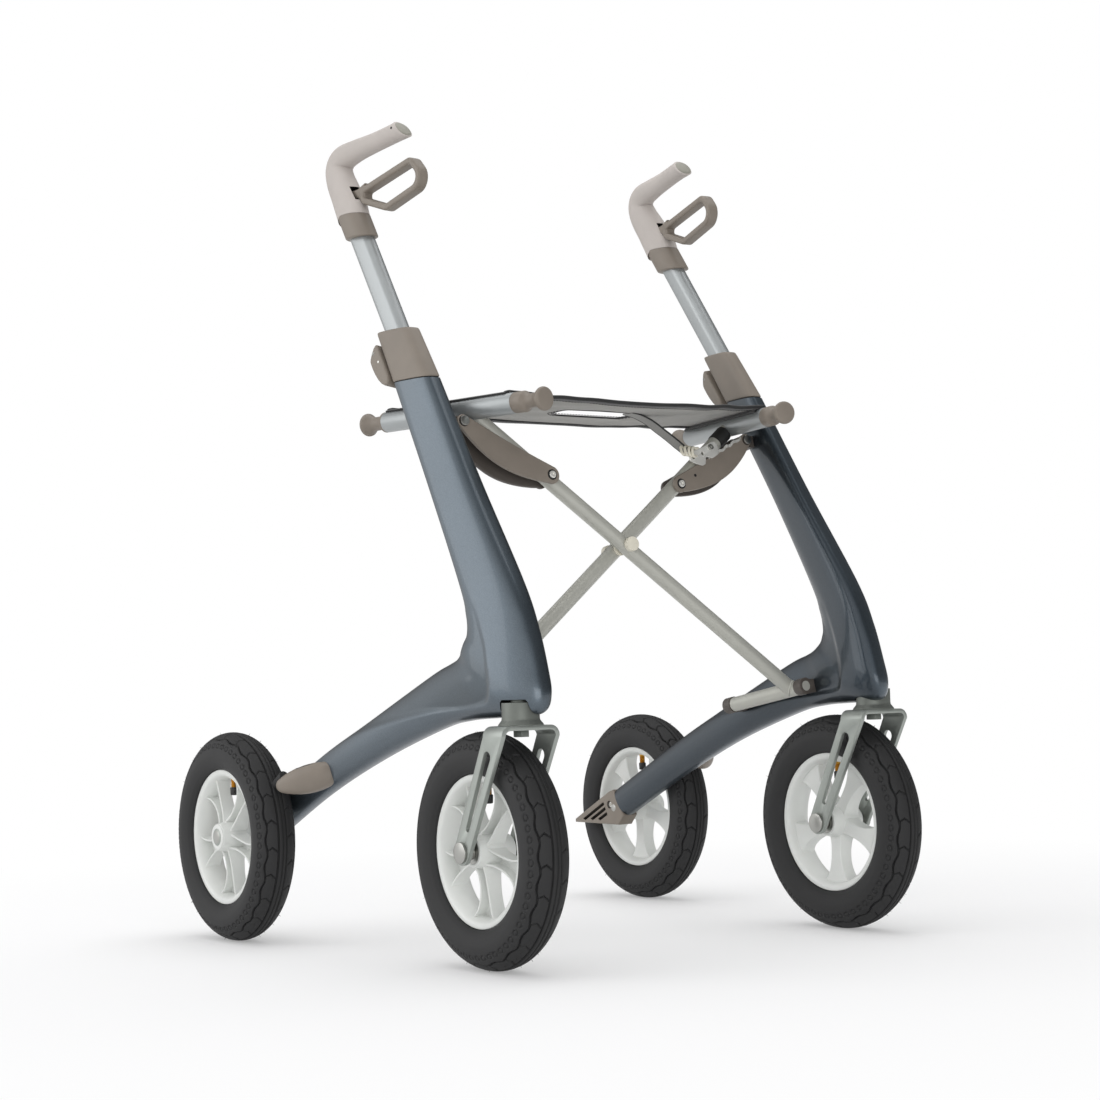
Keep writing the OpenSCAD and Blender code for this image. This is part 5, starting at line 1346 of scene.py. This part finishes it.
def lifted(flat, up=0.0):
    return np.column_stack((flat, sling_height(flat[:, 0], flat[:, 1]) + up))


under_rings = [lifted(flat) for flat in flat_rings]
over_rings = [lifted(flat, SHEET_T) for flat in flat_rings[::-1]]
sheet_shape = loft(under_rings + over_rings, closed=True)
print("sheet:", len(sheet_shape[1]), "faces")


# %% Sheet and tapes
def flat_uv(piece, under=None):
    """UV map in metres, seen from above, and the mark for the underside."""
    mesh = piece.data
    layer = mesh.uv_layers.new(name="flat")
    places = np.array([v.co for v in mesh.vertices])
    corner = np.array([loop.vertex_index for loop in mesh.loops])
    layer.data.foreach_set("uv", places[corner][:, :2].ravel())
    if under:
        marks = np.array([under(v.co) for v in mesh.vertices], float)
        mesh.attributes.new("under", "FLOAT", "POINT").data.foreach_set("value", marks)


def span(piece):
    """Bakes a piece's placement into its mesh."""
    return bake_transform(piece)


sheet = make("seat_sheet", sheet_shape, SEAT_CLOTH, None, ["seat_sling"], crease=60)
flat_uv(sheet, lambda co: co.z < (sling_height(co.x / MM, co.y / MM) + 0.6) * MM)
TAPE_W, TAPE_T, TAPE_IN = 15, 5.0, 6.5
tapes = []
for name, y, half in (("front", FRONT_Y + TAPE_IN, FRONT_HALF), ("rear", REAR_Y - TAPE_IN, REAR_HALF)):
    x = np.linspace(-half, half, 61)
    path = lifted(np.column_stack((x, np.full(61, y))), 1.0)
    tape_rings = [rounded_ring(q, np.array([0, TAPE_W / 2, 0]), np.array([0, 0, TAPE_T / 2]), 24, 0.5) for q in path]
    tapes.append(make(f"seat_{name}_tape", loft(tape_rings), TAPE, None, crease=60))
binding = lifted(slot_edge, SHEET_T / 2)[::2]
radial = (binding - (0, SLOT_Y, 0)) * (1, 1, 0)
radial /= np.linalg.norm(radial, axis=1)[:, None]
slot_rings = [rounded_ring(q, w * 2.4, np.array([0, 0, 1.1]), 16, 0.7) for q, w in zip(binding, radial)]
tapes.append(make("seat_slot_tape", loft(slot_rings, closed=True), TAPE, None, crease=60))
for tape in tapes:
    flat_uv(tape)
for piece in [sheet] + tapes:
    span(piece)
print("seat: sheet and", len(tapes), "tapes")

# %% Sleeves over the seat bars
SEAT_AT, SEAT_SPLAY, BAR_FRONT, BAR_REAR = (203, -115.0, 613.56), 12.4, 92, 110
SLEEVE_IN_R, SLEEVE_OUT_R = 12.25, 14.2
BAR = move(*SEAT_AT) @ rot("Z", -SEAT_SPLAY)
sleeve_angles = np.radians(np.linspace(-58, 30, 24))
arc = np.column_stack((np.sin(sleeve_angles), np.cos(sleeve_angles)))
section = np.vstack((SLEEVE_IN_R * arc, SLEEVE_OUT_R * arc[::-1]))
sleeve_shape = put(loft([np.column_stack((section[:, 0], np.full(len(section), y), section[:, 1]))
                         for y in np.linspace(-BAR_FRONT + 4, BAR_REAR - 4, 24)]), BAR)
for word, side in SIDES:
    sleeve = make(word + "_seat_sleeve", sided(sleeve_shape, side), TAPE,
                  "front_cross" if side < 0 else "rear_cross", crease=45)
    flat_uv(sleeve)
print("sleeves:", BAR_FRONT + BAR_REAR - 8, "mm long")

# %% [markdown]
# The tapes are sewn on, and the stitches show on both faces of the sheet. Painted ones would stay flat,
# so a tree walks along each seam line and sets one small stitch on it every few millimetres, turned
# along the seam.

# %% Tree: stitches along a seam
SEAM_TREE, ins, outs = new_tree("stitches_along_seam", [
    ("Pitch", "NodeSocketFloat"), ("Stitch", "NodeSocketFloat"), ("Finish", "NodeSocketMaterial")])
seam = add(SEAM_TREE, "GeometryNodeMeshToCurve", {"Mesh": ins.outputs["Geometry"]})
places = add(SEAM_TREE, "GeometryNodeCurveToPoints", {"Curve": seam.outputs[0], "Length": ins.outputs["Pitch"]},
             mode="LENGTH")
yarn = add(SEAM_TREE, "GeometryNodeMeshCylinder", {
    "Vertices": 6, "Radius": 0.4, "Depth": ins.outputs["Stitch"]})
copies = add(SEAM_TREE, "GeometryNodeInstanceOnPoints", {
    "Points": places.outputs["Points"], "Instance": yarn.outputs["Mesh"], "Rotation": places.outputs["Rotation"]})
end_tree(SEAM_TREE, ins, outs, copies)

# %% Stitches
SEAM_IN, SEAM_SHORT, SLOT_SEAM, STITCH_PITCH, STITCH_LEN = 11.5, 12, 6, 4.2, 3.0
seams = []
for y, half in ((FRONT_Y + SEAM_IN, FRONT_HALF - SEAM_SHORT), (REAR_Y - SEAM_IN, REAR_HALF - SEAM_SHORT)):
    for up in (-1.7, 3.6):
        seams.append(lifted(np.column_stack((np.linspace(-half, half, 80), np.full(80, y))), up))
outward = slot_edge - (0, SLOT_Y)
ring = slot_edge + outward / np.linalg.norm(outward, axis=1)[:, None] * SLOT_SEAM
for up in (-0.3, 2.3):
    seams.append(lifted(np.vstack((ring, ring[:1])), up))
stitch_shapes = []
for seam_line in seams:
    mesh = new_mesh("seam", seam_line, edges=[(k, k + 1) for k in range(len(seam_line) - 1)])
    stitch_shapes.append(grow(SEAM_TREE, mesh, {"Pitch": STITCH_PITCH, "Stitch": STITCH_LEN, "Finish": THREAD}))
stitches = make("seat_stitches", together(*stitch_shapes), THREAD, None, tidy=False)
span(stitches)
print("stitches:", sum(len(f) for _, f in stitch_shapes) // 8)

# %% [markdown]
# ## Pull strap and latch
# A webbing strap sewn to the slot's edge runs down to the latch on the rear cross tube. Pulling it
# frees the latch and folds the frame. The strap is a flat section swept along a slack line, with a
# thin black edge on either side and a white tie round its lower end.

# %% Pull strap
STRAP_HALF, STRAP_T, STRAP_EDGE_R = 9.8, 1.8, 1.1
strap_path = smooth([(44, -116, 623.2), (58, -116, 620.6), (74, -117, 614.0), (90, -118, 604.0), (104, -120, 594.6),
                     (116, -122, 585.6), (126, -124, 578.4)], 6)
strap_runs = np.gradient(strap_path, axis=0)
strap_runs /= np.linalg.norm(strap_runs, axis=1)[:, None]
strap_rings = []
for q, t in zip(strap_path, strap_runs):
    flatwise = np.cross(t, (0, 1, 0))
    strap_rings.append(rounded_ring(q, np.array([0, STRAP_HALF, 0]), flatwise * STRAP_T / 2, 20, 0.4))
strap = make("pull_webbing", loft(strap_rings), WEBBING, None, ["pull_strap"], crease=50)
flat_uv(strap)
edges = [sweep_tube(strap_path + (0, edge_y, 0), STRAP_EDGE_R, 8) for edge_y in (0.4 - STRAP_HALF, STRAP_HALF - 0.4)]
strap_edges = make("pull_webbing_edges", together(*edges), TAPE, None)
flat_uv(strap_edges)
span(strap)
span(strap_edges)

# %% Tie
TIE_AT, TIE_STEP, TIE_LOOPS, TIE_R = np.array([120, -131, 579]), np.array([3, -2.2, -0.7]), 4, 1.7
tie_loops = []
for k in range(TIE_LOOPS):
    about = np.linspace(0, 2 * np.pi, 25)[:-1] + 0.7 * k
    ring = TIE_AT + TIE_STEP * k + np.column_stack((
        8.2 * np.cos(about), 3.8 * np.sin(about + 0.5 * k), 6.2 * np.sin(about) + 1.4 * np.sin(3 * about)))
    tie_loops.append(sweep_tube(np.vstack((ring, ring[:1])), TIE_R, 10))
make("pull_tie", together(*tie_loops), CREAM, "rear_cross")
print("tie:", TIE_LOOPS, "loops")

# %% [markdown]
# The latch is a bright hooked plate on a rivet, cut from its outline with two holes. The outline is set
# out along the rear cross tube. A bent strip lies below it and a black band is drawn round the tube beside it.

# %% Latch
LATCH_V = -15.9
LATCH = FOLD @ move(0, TUBE_V, CROSS_RISE) @ rot("Y", -TUBE_RISE)
latch_side = [(161, 12), (162.4, 15.6), (166, 18.4), (172, 18.8), (178, 16.4), (190, 12.4), (202, 10), (208.6, 7.6),
              (210.4, 3), (208, -3), (203, -7), (196, -7.4), (190, -5.6), (186.6, -1), (183.4, 0.6), (180.4, -2.2),
              (177, -5), (171.6, -3.6), (167, 2), (163, 7)]
holes = [[(x + r * math.cos(a), y + r * math.sin(a)) for a in np.linspace(0, 2 * np.pi, 20, endpoint=False)]
         for x, y, r in ((168, 12, 2.2), (183, 7, 2.0))]
latch_plate = put(plate([latch_side] + holes, 1.6, 0.4, 2), LATCH @ move(0, LATCH_V, 0) @ rot("X", 90))
make("latch_plate", latch_plate, BRIGHT, "latch", ["fold_latch"], crease=40)
rivet = together(socket_head(3.8, 2.2), turn([(0, -8), (2.6, -8), (2.6, 0.4), (0, 0.4)], 24))
rivet = put(rivet, LATCH @ move(198.7, LATCH_V - 0.8, 5.4) @ rot("X", 90))
make("latch_rivet", rivet, TURNED, "rear_cross")
spring = smooth([(150, 289.5), (156, 294.0), (162, 294.6), (168, 299.4), (174, 300.4), (180, 305.6), (186, 306.4),
                 (192, 311.4), (199, 313.2), (205, 317)], 5)
bends = 0.9 * np.sin(np.arange(len(spring)) * 1.3)
spring_rings = [[(x, -4.6 + b, w - 1.8), (x, -3.8 + b, w - 1.8), (x, -3.4 - b, w + 2.0), (x, -4.2 - b, w + 2.0)]
                for (x, w), b in zip(spring, bends)]
make("latch_spring", put(loft(spring_rings), FOLD), BRIGHT, "rear_cross", crease=25)
# A black band round the tube beside the latch, near the seat bar.
dark_tube_band = turn([(9.3, 222), (9.7, 222), (10, 223), (10, 243), (9.7, 244), (9.3, 244)], 48, loop=True)
make("latch_dark_tube_band", put(dark_tube_band, LATCH @ rot("Y", 90)), BLACK, "rear_cross", crease=40)
print("latch: plate with", len(holes), "holes, spring of", len(spring), "steps")

# %% [markdown]
# ## Pieces that keep the CAD shape
# Forks, axles, bearings, bearing blocks and seat bars already have their true shape. Drawing them again
# would only risk a misfit, so they are copied, their edges rounded by a bevel, and given their finish.

# %% Dressed CAD pieces
for word, side in SIDES:
    body = word + "_frame"
    dress(word + "_hinge_brackets", DARK_TAUPE_AND_SHADE, body, 0.8)
    dress(word + "_rear_axle", TURNED, body, 0.5)
    dress(word + "_frame_screws", TURNED, body, 0.4)
    dress(word + "_brake_shoe", RUBBER, word + "_shoe", 0.6)
    dress(word + "_fork", CAST, word + "_caster", 0.9)
    dress(word + "_fork_stem", DARK_CAST, word + "_caster", 0.5)
    dress(word + "_front_axle", TURNED, word + "_caster", 0.5)
    cross = "front_cross" if side < 0 else "rear_cross"
    dress(word + "_seat_bar", SILVER, cross, 0.3)
    dress(word + "_seat_caps", TAUPE, cross, 0.8)
    for end in ("front", "rear"):
        wheel = f"{word}_{end}"
        dress(wheel + "_bearings", TURNED, wheel + "_wheel", 0.4)
dress("cross_pivot", CREAM, "rear_cross", 0.6)

# %% Sizes of the scene
low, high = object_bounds()
